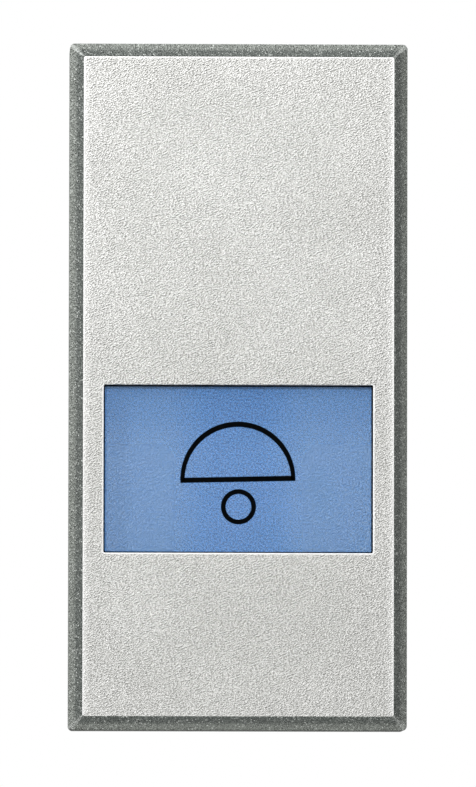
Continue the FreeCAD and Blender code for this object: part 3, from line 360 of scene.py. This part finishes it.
def printedFilm(reach):
    # Screen-printed film: grey-blue by day, with the blue light from behind painted on as the film's own
    # glow, through the grain of the opal plate
    s = labelFilm
    material, tree, shader, place = paintedWith("bluePrintedFilm", s)
    across, _, height = addNode(tree, "ShaderNodeSeparateXYZ", (place,)).outputs
    side = addNode(tree, "ShaderNodeMath", (across,), operation="ABSOLUTE")
    ends = [share * reach for share in s["sideReach"]]
    cloud = {"Vector": place, "Scale": 1 / (s["cloudMm"] * mm), "Detail": 2.0}
    clouds = addNode(tree, "ShaderNodeTexNoise", cloud)
    sideTone = addNode(tree, "ShaderNodeMapRange", (side, *ends))
    cloudTone = addNode(tree, "ShaderNodeMapRange", (clouds, *noiseSpan, -s["cloudTone"], s["cloudTone"]))
    tone = addNode(tree, "ShaderNodeMath", (sideTone, cloudTone), operation="ADD")
    tones = (tone, hexColor(s["middle"]), hexColor(s["side"]))
    plug(tree, shader.inputs["Base Color"], addNode(tree, "ShaderNodeMix", tones, data_type="RGBA"))
    plug(tree, shader.inputs["Emission Color"], hexColor(s["lamp"]))
    # Painted shadow along the window's upper edge, and painted shade fading below it
    lightTop = (keyCover["windowZ"] + keyCover["windowHeight"] / 2 - s["unlitEdge"]) * mm
    paintedTopShadow = (height, lightTop, lightTop + s["unlitBlur"] * mm, 1.0, s["unlitGlow"])
    lit = addNode(tree, "ShaderNodeMapRange", paintedTopShadow)
    shade = belowWindowTop(tree, height, s["upperGlow"])
    dot = {"Vector": place, "Scale": 1 / (s["dotMm"] * mm), "Detail": 0.0}
    dots = addNode(tree, "ShaderNodeTexNoise", dot)
    dotGlow = addNode(tree, "ShaderNodeMapRange", (dots, *noiseSpan, *s["dotGlow"]))
    glow = addNode(tree, "ShaderNodeMath", (lit, shade), operation="MULTIPLY")
    glow = addNode(tree, "ShaderNodeMath", (glow, dotGlow), operation="MULTIPLY")
    plug(tree, shader.inputs["Emission Strength"], glow)
    return material


def screenInkAndGapShade(s):
    # Near-black screen print with a slightly uneven film; the same black is painted shade in the gap around
    # the lens
    material, tree, shader, place = paintedWith("blackScreenInkAndGapShade", s)
    patch = {"Vector": place, "Scale": 1 / (s["filmMm"] * mm), "Detail": 2.0}
    film = addNode(tree, "ShaderNodeTexNoise", patch)
    thinned = addNode(tree, "ShaderNodeMapRange", (film, 0.45, 0.8))
    tones = (thinned, hexColor(s["thick"]), hexColor(s["thin"]))
    plug(tree, shader.inputs["Base Color"], addNode(tree, "ShaderNodeMix", tones, data_type="RGBA"))
    return material


board = {
    "lacquer": "1c5a38",
    "overWeave": "3a7a50",
    "weaveShare": 0.25,
    "weaveMm": 0.45,
    "weaveDepthMm": 0.005,
    "cloud": "144a2c",
    "cloudShare": 0.3,
    "cloudMm": 1.2,
    "relief": 0.3,
    "roughness": 0.3,
}
resistor = {
    "light": "c7a877",
    "dark": "b4935f",
    "toneMm": 0.5,
    "halfRing": 0.18,
    "rings": ((-1.3, "7a4a21"), (-0.6, "111111"), (0.1, "a8231c"), (1.3, "b08a2a")),
    "roughness": 0.3,
}


def boardLaminate(s):
    # Glass-fibre board under green solder lacquer: the weave shows as a faint check
    material, tree, shader, place = newMaterial("greenLacqueredBoard", {"Roughness": s["roughness"]})
    check = {"Vector": place, "Scale": 1 / (s["weaveMm"] * mm)}
    weave = addNode(tree, "ShaderNodeTexChecker", check).outputs["Fac"]
    cloud = {"Vector": place, "Scale": 1 / (s["cloudMm"] * mm), "Detail": 2.0}
    clouds = addNode(tree, "ShaderNodeTexNoise", cloud)
    weaveShare = addNode(tree, "ShaderNodeMath", (weave, s["weaveShare"]), operation="MULTIPLY")
    cloudShare = addNode(tree, "ShaderNodeMapRange", (clouds, 0.4, 0.8, 0.0, s["cloudShare"]))
    color = hexColor(s["lacquer"])
    for share, tone in ((weaveShare, "overWeave"), (cloudShare, "cloud")):
        color = addNode(tree, "ShaderNodeMix", (share, color, hexColor(s[tone])), data_type="RGBA")
    plug(tree, shader.inputs["Base Color"], color)
    relief = {"Height": weave, "Distance": s["weaveDepthMm"] * mm, "Strength": s["relief"]}
    plug(tree, shader.inputs["Normal"], addNode(tree, "ShaderNodeBump", relief))
    return material


def resistorLacquer(s, middleX):
    # Baked tan lacquer with four plain value rings
    material, tree, shader, place = newMaterial("bakedResistorLacquer", {"Roughness": s["roughness"]})
    along = addNode(tree, "ShaderNodeSeparateXYZ", (place,))
    cloud = {"Vector": place, "Scale": 1 / (s["toneMm"] * mm), "Detail": 2.0}
    tones = (addNode(tree, "ShaderNodeTexNoise", cloud), hexColor(s["light"]), hexColor(s["dark"]))
    color = addNode(tree, "ShaderNodeMix", tones, data_type="RGBA")
    for middle, tone in s["rings"]:
        offset = addNode(tree, "ShaderNodeMath", (along, middleX + middle * mm), operation="SUBTRACT")
        gap = addNode(tree, "ShaderNodeMath", (offset,), operation="ABSOLUTE")
        onRing = addNode(tree, "ShaderNodeMath", (gap, s["halfRing"] * mm), operation="LESS_THAN")
        color = addNode(tree, "ShaderNodeMix", (onRing, color, hexColor(tone)), data_type="RGBA")
    plug(tree, shader.inputs["Base Color"], color)
    return material


print("materials")
faceLacquer = silverFace(facePaint)
bevelLacquer = silverBevel(bevelPaint)
inkAndGapShadeOnLens = screenInkAndGapShade(blackPrintAndGapShade)
plasticOf = {name: mouldedPlastic(name) for name in plastics}
metalOf = {name: workedMetal(name) for name in metals}


# Pieces
def newPiece(name, mesh, body, materials, standsFor=()):
    piece = bpy.data.objects.new(name, mesh)
    bpy.context.scene.collection.objects.link(piece)
    for material in materials:
        mesh.materials.append(material)
    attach(piece, body)
    if standsFor:
        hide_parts(*standsFor)
    return piece


def meshFrom(name, shape):
    # The bmesh's outside faces out, shaded smooth
    bmesh.ops.recalc_face_normals(shape, faces=shape.faces)
    mesh = bpy.data.meshes.new(name)
    shape.to_mesh(mesh)
    shape.free()
    mesh.shade_smooth()
    return mesh


def joinLoops(shape, one, two, surface=0):
    # A closed strip of faces between two loops of equal counts
    for i in range(len(one)):
        k = (i + 1) % len(one)
        shape.faces.new((one[i], one[k], two[k], two[i])).material_index = surface


# Key cover: one moulded shell, built as rings from its hollow out over the bevel and the face to the window
keyCover = {
    "wall": 1.2,
    "faceThickness": 1.3,
    "bevelWidth": 0.825,
    "bevelDepth": 0.9,
    "cove": 0.035,           # the bevel's face is a little hollow
    "coveSteps": 6,
    "outerCorner": 0.3,
    "faceCorner": 0.12,
    "innerCorner": 0.6,
    "skirtEdge": 0.15,
    "shoulderEdge": 0.12,
    "faceEdge": 0.08,
    "windowWidth": 17.63,
    "windowHeight": 11.0,
    "windowZ": -5.425,
    "windowCorner": 0.1,
    "windowEdge": 0.06,
    # Painted highlight on the window's lower and side edges, none on the upper one
    "windowEdgeHighlight": {"side": 0.8, "upper": 0.0, "lower": 1.0},
    "edgeHighlightLines": (           # how far inside the face's edge, and how bright the painted highlight line is there
        (0.08, {"side": 1.0, "upper": 1.0, "lower": 0.1}),
        (0.14, {"side": 0.5, "upper": 0.5, "lower": 0.0}),
        (0.22, {"side": 0.2, "upper": 0.0, "lower": 0.0}),
        (0.6, {"side": 0.0, "upper": 0.0, "lower": 0.0}),
    ),
    "wallShadeShare": 0.3,         # share of the wall's painted shade on the sides and the top
    "cornerSteps": 8,
    "edgeSteps": 5,
    "beadReach": 0.35,
    "beadDepth": 0.5,
    "beadLength": 6.0,
    "beadZ": 16.6,
    "beadFront": -7.02,
    "beadSink": 0.02,        # into the wall
}


def ringPoints(width, height, corner, y, middleZ, steps):
    # A rounded rectangle that faces Y, with the same number of points for every ring, from its upper right
    points = []
    for turn, (sideX, sideZ) in enumerate(((1, 1), (-1, 1), (-1, -1), (1, -1))):
        for step in range(steps + 1):
            angle = math.radians(90 * (turn + step / steps))
            x = sideX * (width / 2 - corner) + corner * math.cos(angle)
            z = sideZ * (height / 2 - corner) + corner * math.sin(angle)
            points.append(Vector((x, y, middleZ + z)) * mm)
    return points


def roundedProfile(corners, steps):
    # Corners are (inset, y, ring corner, rounding), and a rounding becomes an arc between its neighbours
    points = []
    for i, (inset, y, ringCorner, rounding) in enumerate(corners):
        here = Vector((inset, y))
        if not rounding:
            points.append((inset, y, ringCorner))
            continue
        before = (Vector(corners[i - 1][:2]) - here).normalized()
        after = (Vector(corners[i + 1][:2]) - here).normalized()
        half = before.angle(after) / 2
        reach = rounding / math.tan(half)
        center = here + (before + after).normalized() * rounding / math.sin(half)
        first = here + before * reach - center
        last = here + after * reach - center
        turn = first.angle_signed(last)
        for step in range(steps + 1):
            # angle_signed counts clockwise, and Matrix.Rotation the other way
            spoke = Matrix.Rotation(-turn * step / steps, 2) @ first
            points.append((center.x + spoke.x, center.y + spoke.y, ringCorner))
    return points


def coverRings(s, low, high):
    # Each ring is its points, the material toward the next one, its painted highlight or wall shade by side
    # and its place on the bevel.
    # Materials: 0 face, 1 bevel and outer walls, 2 inside
    width, height = (high.x - low.x) / mm, (high.z - low.z) / mm
    faceY, backY = low.y / mm, high.y / mm
    floorY, shoulderY = faceY + s["faceThickness"], faceY + s["bevelDepth"]
    rings = []

    def addRing(inset, y, corner, surface, line=None, rise=0.0):
        points = ringPoints(width - 2 * inset, height - 2 * inset, corner, y, 0.0, s["cornerSteps"])
        rings.append((points, surface, line, rise))

    def addWindowRing(outset, y, surface, line=None):
        corner = s["windowCorner"] + outset
        points = ringPoints(s["windowWidth"] + 2 * outset, s["windowHeight"] + 2 * outset, corner, y,
                            s["windowZ"], s["cornerSteps"])
        rings.append((points, surface, line, 0.0))

    addWindowRing(0.0, floorY, 2)
    wall, bevel = s["wall"], s["bevelWidth"]
    inside = [(wall, floorY, s["innerCorner"], 0), (wall, backY, s["innerCorner"], s["skirtEdge"]),
              (0.0, backY, s["outerCorner"], 0)]
    outside = [(wall, backY, s["outerCorner"], 0), (0.0, backY, s["outerCorner"], s["skirtEdge"]),
               (0.0, shoulderY, s["outerCorner"], s["shoulderEdge"]), (bevel, faceY, s["faceCorner"], 0)]
    face = [(0.0, shoulderY, s["outerCorner"], 0), (bevel, faceY, s["faceCorner"], s["faceEdge"]),
            (2 * bevel, faceY, s["faceCorner"], 0)]
    for inset, y, corner in roundedProfile(inside, s["edgeSteps"])[:-1]:
        addRing(inset, y, corner, 2)
    overSide = roundedProfile(outside, s["edgeSteps"])[1:-1]
    overFace = roundedProfile(face, s["edgeSteps"])[1:-1]
    for inset, y, corner in overSide:
        # The wall's painted shade starts on the shoulder's rounding, and nearer the bevel at the bottom,
        # which faces down
        tone = s["wallShadeShare"] if y > shoulderY + s["shoulderEdge"] / 4 else 0.0
        below = 1.0 if y > shoulderY - s["shoulderEdge"] / 4 else 0.0
        addRing(inset, y, corner, 1, {"side": tone, "upper": tone, "lower": below})
    start, end = overSide[-1], overFace[0]
    for step in range(1, s["coveSteps"]):
        share = step / s["coveSteps"]
        sink = s["cove"] * 4 * share * (1 - share) / math.sqrt(2)
        inset, y, corner = (a + (b - a) * share for a, b in zip(start, end))
        addRing(inset + sink, y + sink, corner, 1, None, share)
    for inset, y, corner in overFace:
        addRing(inset, y, corner, 1, None, 1.0)
    for inset, line in s["edgeHighlightLines"]:
        addRing(bevel + inset, faceY, s["faceCorner"], 0, line)
    edge = s["windowEdge"]
    addWindowRing(2 * edge, faceY, 0)
    for step in range(s["edgeSteps"] + 1):
        angle = math.radians(90 * step / s["edgeSteps"])
        outset, y = edge * (1 - math.sin(angle)), faceY + edge * (1 - math.cos(angle))
        addWindowRing(outset, y, 0, s["windowEdgeHighlight"])
    return rings


def addBeads(shape, s, insideX):
    # Half-round snap beads on the side walls, which hold the cover on its carrier
    for side in (-1, 1):
        for level in (-1, 1):
            ends = []
            for end in (-1, 1):
                z = level * s["beadZ"] + end * s["beadLength"] / 2
                loop = []
                for step in range(s["edgeSteps"] + 1):
                    angle = math.pi * step / s["edgeSteps"]
                    x = side * (insideX - s["beadReach"] * math.sin(angle) + s["beadSink"])
                    y = s["beadFront"] + s["beadDepth"] * (1 - math.cos(angle)) / 2
                    loop.append(shape.verts.new(Vector((x, y, z)) * mm))
                ends.append(loop)
                shape.faces.new(loop).material_index = 2
            for i in range(s["edgeSteps"]):
                quad = (ends[0][i], ends[0][i + 1], ends[1][i + 1], ends[1][i])
                shape.faces.new(quad).material_index = 2


def makeKeyCover(s):
    low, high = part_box("key_cover")
    shape = bmesh.new()
    zones = shape.verts.layers.float_vector.new("paintedLightZones")
    rings = coverRings(s, low, high)
    perCorner = s["cornerSteps"] + 1
    loops = []
    for points, _, line, rise in rings:
        loop = []
        for i, point in enumerate(points):
            vertex = shape.verts.new(point)
            # The points start at the right side's top, so at every other corner the side comes first
            corner, step = divmod(i, perCorner)
            onSide = (step < perCorner / 2) == (corner % 2 == 0)
            edge = "side" if onSide else "upper" if corner < 2 else "lower"
            # Painted highlight on the mitres, strongest in the middle of each corner
            mitre = math.sin(math.pi * step / s["cornerSteps"])
            vertex[zones] = (line[edge] if line else 0.0, rise, mitre)
            loop.append(vertex)
        loops.append(loop)
    for j, loop in enumerate(loops):
        joinLoops(shape, loop, loops[(j + 1) % len(loops)], rings[j][1])
    addBeads(shape, s, (high.x - low.x) / mm / 2 - s["wall"])
    cover = newPiece("keyCoverLacquered", meshFrom("keyCoverLacquered", shape), "key",
                     (faceLacquer, bevelLacquer, plasticOf["greyAbsInside"]), ["key_cover"])
    cover.modifiers.new("Flat faces stay flat", "WEIGHTED_NORMAL")


# Clear lens with a matt front, and a rim behind the cover's face, which with the lens's sides is painted
# black as the shade in the gap around the lens
windowLens = {
    "recess": 0.22,          # of its front behind the cover's face
    "fit": 0.08,             # between the lens and the window's walls
    "chamfer": 0.12,
    "chamferFall": 0.35,     # share of the chamfer's depth at half its width
    "rimReach": 0.45,
    "rimDepth": 0.6,
    "backGap": 0.05,         # air between the lens and its label
    "corner": 0.1,
    "sharpAngle": 40,
}


def makeLens(s):
    low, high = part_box("window_lens")
    window = (keyCover["windowWidth"] - 2 * s["fit"], keyCover["windowHeight"] - 2 * s["fit"])
    frontY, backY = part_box("key_cover")[0].y / mm + s["recess"], high.y / mm - s["backGap"]
    rimY = high.y / mm - s["rimDepth"]
    chamfer, rim = s["chamfer"], s["rimReach"] + s["fit"]
    # Outset, depth and the surface toward the next ring: 0 matt front, 1 clear, 2 black painted shade of the
    # gap
    outline = ((-chamfer, frontY, 0), (-chamfer / 2, frontY + s["chamferFall"] * chamfer, 0),
               (0.0, frontY + chamfer, 2), (0.0, rimY, 2), (rim, rimY, 2), (rim, backY, 1))
    shape = bmesh.new()
    loops = []
    for outset, y, _ in outline:
        points = ringPoints(window[0] + 2 * outset, window[1] + 2 * outset, s["corner"], y,
                            keyCover["windowZ"], keyCover["cornerSteps"])
        loops.append([shape.verts.new(point) for point in points])
    for one, two, (_, _, surface) in zip(loops, loops[1:], outline):
        joinLoops(shape, one, two, surface)
    shape.faces.new(loops[0])
    shape.faces.new(loops[-1]).material_index = 1
    mesh = meshFrom("windowLensClear", shape)
    mesh.set_sharp_from_angle(angle=math.radians(s["sharpAngle"]))
    surfaces = (mattLensFront(high.x), clearPlastic("clearPolycarbonateLens", lensPlastic), inkAndGapShadeOnLens)
    lens = newPiece("windowLensClear", mesh, "key", surfaces, ["window_lens"])
    lens.modifiers.new("Flat faces stay flat", "WEIGHTED_NORMAL").keep_sharp = True


# Bell sign, screen-printed on the lens
bellSign = {
    "front": -9.40,
    "back": -9.381,
    "domeX": -0.03,
    "domeZ": -6.09,
    "domeOuter": 3.765,
    "domeInner": 3.485,
    "innerShiftZ": -0.07,    # the stroke is thicker at the top
    "baseLow": (-6.35, -6.20),   # left and right end of the base stroke's lower edge
    "baseHigh": (-6.01, -5.86),
    "ballX": 0.01,
    "ballZ": -7.90,
    "ballOuter": 1.152,
    "ballInner": 0.839,
    "steps": 64,
}


def addBand(shape, outer, inner, front, back):
    # A flat closed band between two outlines with equal counts, from the front to the back
    layers = []
    for outline in (outer, inner):
        for y in (front, back):
            layers.append([shape.verts.new(Vector((x, y, z)) * mm) for x, z in outline])
    outerFront, outerBack, innerFront, innerBack = layers
    around = (outerFront, innerFront, innerBack, outerBack, outerFront)
    for one, two in zip(around, around[1:]):
        joinLoops(shape, one, two)


def arcPoints(centerX, centerZ, radius, halfTurns, steps):
    # A full circle's last point would be its first again, so it is left out
    count = steps + 1 if halfTurns == 1 else steps
    angles = [halfTurns * math.pi * i / steps for i in range(count)]
    return [(centerX + radius * math.cos(angle), centerZ + radius * math.sin(angle)) for angle in angles]


def makeBellSign(s):
    shape = bmesh.new()
    outlines = []
    for radius, shift, (leftZ, rightZ) in ((s["domeOuter"], 0.0, s["baseLow"]),
                                           (s["domeInner"], s["innerShiftZ"], s["baseHigh"])):
        dome = arcPoints(s["domeX"], s["domeZ"] + shift, radius, 1, s["steps"])
        outlines.append(dome + [(s["domeX"] - radius, leftZ), (s["domeX"] + radius, rightZ)])
    addBand(shape, *outlines, s["front"], s["back"])
    rings = [arcPoints(s["ballX"], s["ballZ"], s[edge], 2, s["steps"]) for edge in ("ballOuter", "ballInner")]
    addBand(shape, *rings, s["front"], s["back"])
    mesh = meshFrom("bellSign", shape)
    mesh.shade_flat()
    newPiece("bellSign", mesh, "key", (inkAndGapShadeOnLens,))


# Springs, wound smooth with closed end coils
returnSpring = {"node": "return_spring", "body": "base", "coil": 2.4, "wire": 0.2, "turns": 5}
contactSpring = {"node": "contact_spring", "body": "plunger", "coil": 1.65, "wire": 0.16, "turns": 4}
winding = {
    "closedTurns": 0.8,
    "closedPitch": 1.03,     # wire diameters from one closed turn to the next
    "stepsPerTurn": 28,
    "wireSides": 10,
}


def makeSpring(s):
    low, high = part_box(s["node"])
    middle = (low + high) / 2
    wire, coil = s["wire"] * mm, s["coil"] * mm
    start, end = low.y + wire, high.y - wire
    closed, turns = winding["closedTurns"], s["turns"]
    # A closed turn rises by little more than the wire, and the open ones share the rest of the length
    rise = 2 * wire * winding["closedPitch"]
    openPitch = (end - start - 2 * rise * closed) / (turns - 2 * closed)
    forward = Vector((0, 1, 0))
    shape = bmesh.new()
    loops = []
    steps = turns * winding["stepsPerTurn"]
    for step in range(steps + 1):
        turn = turns * step / steps
        first, last = min(turn, closed), max(0.0, turn - (turns - closed))
        y = start + rise * (first + last) + openPitch * (turn - first - last)
        angle = 2 * math.pi * turn
        outward = Vector((math.cos(angle), 0, math.sin(angle)))
        center = Vector((middle.x, y, middle.z)) + outward * coil
        loop = []
        for side in range(winding["wireSides"]):
            around = 2 * math.pi * side / winding["wireSides"]
            spoke = outward * math.cos(around) + forward * math.sin(around)
            loop.append(shape.verts.new(center + spoke * wire))
        loops.append(loop)
    for one, two in zip(loops, loops[1:]):
        joinLoops(shape, one, two)
    shape.faces.new(loops[0])
    shape.faces.new(loops[-1])
    return newPiece(s["node"] + "Wound", meshFrom(s["node"], shape), s["body"],
                    (metalOf["rolledSpringSteel"],), [s["node"]])


# CAD nodes that are shown as they are, with their moulded or stamped edges broken
edgeBreak = {
    "moulded": 0.12,
    "smallMoulded": 0.08,
    "stamped": 0.05,
    "opalPlate": 0.03,
    "film": 0.02,
    "segments": 2,
    "sharpAngle": 35,
    "flatAngle": 0.5,
    "weld": 0.001,
}


def finishNode(name, material, kind):
    piece = nodes[name]
    piece.data.materials.clear()
    piece.data.materials.append(material)
    piece.data.shade_smooth()
    weld = piece.modifiers.new("Joined facets", "WELD")
    weld.merge_threshold = edgeBreak["weld"] * mm
    flat = piece.modifiers.new("Whole faces", "DECIMATE")
    flat.decimate_type = "DISSOLVE"
    flat.angle_limit = math.radians(edgeBreak["flatAngle"])
    bevel = piece.modifiers.new("Broken edges", "BEVEL")
    bevel.width = edgeBreak[kind] * mm
    bevel.segments = edgeBreak["segments"]
    bevel.limit_method = "ANGLE"
    bevel.angle_limit = math.radians(edgeBreak["sharpAngle"])
    bevel.use_clamp_overlap = False
    piece.modifiers.new("Flat faces stay flat", "WEIGHTED_NORMAL")


def finishNodes():
    finishNode("label_card", printedFilm(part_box("label_card")[1].x), "film")
    finishNode("light_diffuser", plasticOf["whitePolycarbonate"], "opalPlate")
    for name in ("key_carrier", "front_frame", "rear_cover"):
        finishNode(name, plasticOf["blackPolyamide"], "moulded")
    finishNode("housing", plasticOf["greyPolyamide"], "moulded")
    for name in ("guide_plate", "plunger", "light_tunnel"):
        finishNode(name, plasticOf["whitePolycarbonate"], "smallMoulded")
    for name in ("pivot_pin", "retaining_clip_upper", "retaining_clip_lower", "retaining_ring"):
        finishNode(name, metalOf["rolledSpringSteel"], "stamped")
    finishNode("contact_bridge", metalOf["stampedBrass"], "stamped")
    for side in ("left", "right"):
        finishNode(f"switch_strip_{side}", metalOf["stampedBrass"], "stamped")
        finishNode(f"lamp_strip_{side}", metalOf["stampedBrass"], "stamped")
        finishNode(f"fixed_tip_{side}", metalOf["silverAlloy"], "stamped")
        finishNode(f"moving_tip_{side}", metalOf["silverAlloy"], "stamped")
        for level in ("upper", "lower"):
            finishNode(f"terminal_clamp_{level}_{side}", metalOf["stampedBrass"], "stamped")
            finishNode(f"clamp_screw_{level}_{side}", metalOf["zincPlatedSteel"], "stamped")
    for level in ("upper", "lower"):
        finishNode(f"cover_screw_{level}", metalOf["zincPlatedSteel"], "stamped")
    finishNode("lamp_board", boardLaminate(board), "stamped")
    finishNode("led_lamp", clearPlastic("castEpoxyLamp", lampPlastic), "stamped")
    resistorLow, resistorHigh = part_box("series_resistor")
    finishNode("series_resistor", resistorLacquer(resistor, (resistorLow.x + resistorHigh.x) / 2), "stamped")


print("key cover and sign")
makeKeyCover(keyCover)
makeLens(windowLens)
makeBellSign(bellSign)
print("springs")
wound = makeSpring(returnSpring)
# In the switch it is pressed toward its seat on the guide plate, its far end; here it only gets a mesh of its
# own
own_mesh(wound)
makeSpring(contactSpring)
print("inner pieces")
finishNodes()


# Studio: white all round, soft lamps from the upper left, and little else
studio = {
    "floorZ": -45.0,
    "floorSize": 3000.0,
    "floorColor": "f2f2f0",
    "floorGlow": 0.44,
    "worldFill": 0.08,
    "lamps": {
        "nearLeft": {"place": (-60.0, -60.0, 90.0), "size": 50.0, "power": 0.073},
        "farLeft": {"place": (-130.0, -150.0, 60.0), "size": 50.0, "power": 0.206},
        "above": {"place": (20.0, -45.0, 75.0), "size": 50.0, "power": 0.023},
        "right": {"place": (90.0, -60.0, 0.0), "size": 50.0, "power": 0.012},
        "behind": {"place": (190.0, 260.0, 160.0), "size": 160.0, "power": 0.45},
    },
}


def whiteForViewers(tree):
    # 1 for the camera, reflections and what is seen through clear parts, 0 for the light on things
    path = addNode(tree, "ShaderNodeLightPath").outputs
    seen = (path["Is Camera Ray"], path["Is Glossy Ray"])
    seen = addNode(tree, "ShaderNodeMath", seen, operation="MAXIMUM")
    return addNode(tree, "ShaderNodeMath", (seen, path["Is Transmission Ray"]), operation="MAXIMUM")


def makeWorld(s):
    world = bpy.data.worlds.new("whiteStudio")
    bpy.context.scene.world = world
    world.use_nodes = True
    tree = world.node_tree
    tree.nodes.clear()
    strength = addNode(tree, "ShaderNodeMapRange", (whiteForViewers(tree), 0.0, 1.0, s["worldFill"], 1.0))
    sky = addNode(tree, "ShaderNodeBackground", {"Color": (1, 1, 1, 1), "Strength": strength})
    addNode(tree, "ShaderNodeOutputWorld", {"Surface": sky})


def makeFloor(s):
    # Pale floor that takes the shadow, with a glow for viewers only, which lifts it to white
    shape = bmesh.new()
    half = s["floorSize"] / 2
    corners = ((-half, -half), (half, -half), (half, half), (-half, half))
    shape.faces.new([shape.verts.new(Vector((x, y, s["floorZ"])) * mm) for x, y in corners])
    floor = bpy.data.objects.new("studioFloor", meshFrom("studioFloor", shape))
    bpy.context.scene.collection.objects.link(floor)
    material = bpy.data.materials.new("paleStudioFloor")
    material.use_nodes = True
    tree = material.node_tree
    tree.nodes.clear()
    matt = addNode(tree, "ShaderNodeBsdfDiffuse", {"Color": hexColor(s["floorColor"])})
    viewers = (whiteForViewers(tree), s["floorGlow"])
    strength = addNode(tree, "ShaderNodeMath", viewers, operation="MULTIPLY")
    glow = addNode(tree, "ShaderNodeEmission", {"Color": (1, 1, 1, 1), "Strength": strength})
    both = addNode(tree, "ShaderNodeAddShader", (matt, glow))
    addNode(tree, "ShaderNodeOutputMaterial", {"Surface": both})
    floor.data.materials.append(material)


def makeLamp(name, s):
    light = bpy.data.lights.new(name, "AREA")
    light.shape = "DISK"
    light.size = s["size"] * mm
    light.energy = s["power"]
    lamp = bpy.data.objects.new(name, light)
    bpy.context.scene.collection.objects.link(lamp)
    lamp.location = Vector(s["place"]) * mm
    lamp.rotation_euler = (-lamp.location).to_track_quat("-Z", "Y").to_euler()
    lamp.visible_camera = False


# Camera: a little to the left and below, as the bevels' widths in the photograph show
view = {
    "place": (-17.0, -708.7, -35.0),
    "aim": (-0.016, -8.7, -0.45),
    "pictureHeight": 51.545,     # height of the picture at the key's shoulder
    "turn": 0.11,                # degrees clockwise
    "sensor": 36,
    "clip": (0.01, 10),
}


def makeCamera(s):
    data = bpy.data.cameras.new("camera")
    data.sensor_fit = "AUTO"
    data.sensor_width = s["sensor"]
    place, aim = Vector(s["place"]) * mm, Vector(s["aim"]) * mm
    data.lens = data.sensor_width * (aim - place).length / (s["pictureHeight"] * mm)
    data.clip_start, data.clip_end = s["clip"]
    camera = bpy.data.objects.new("camera", data)
    bpy.context.scene.collection.objects.link(camera)
    camera.location = place
    straight = (aim - place).to_track_quat("-Z", "Y").to_matrix()
    camera.rotation_euler = (straight @ Matrix.Rotation(math.radians(s["turn"]), 3, "Z")).to_euler()
    bpy.context.scene.camera = camera


print("studio and camera")
makeWorld(studio)
makeFloor(studio)
for lampName, lampSettings in studio["lamps"].items():
    makeLamp(lampName, lampSettings)
makeCamera(view)
bpy.context.scene.view_settings.view_transform = "Standard"
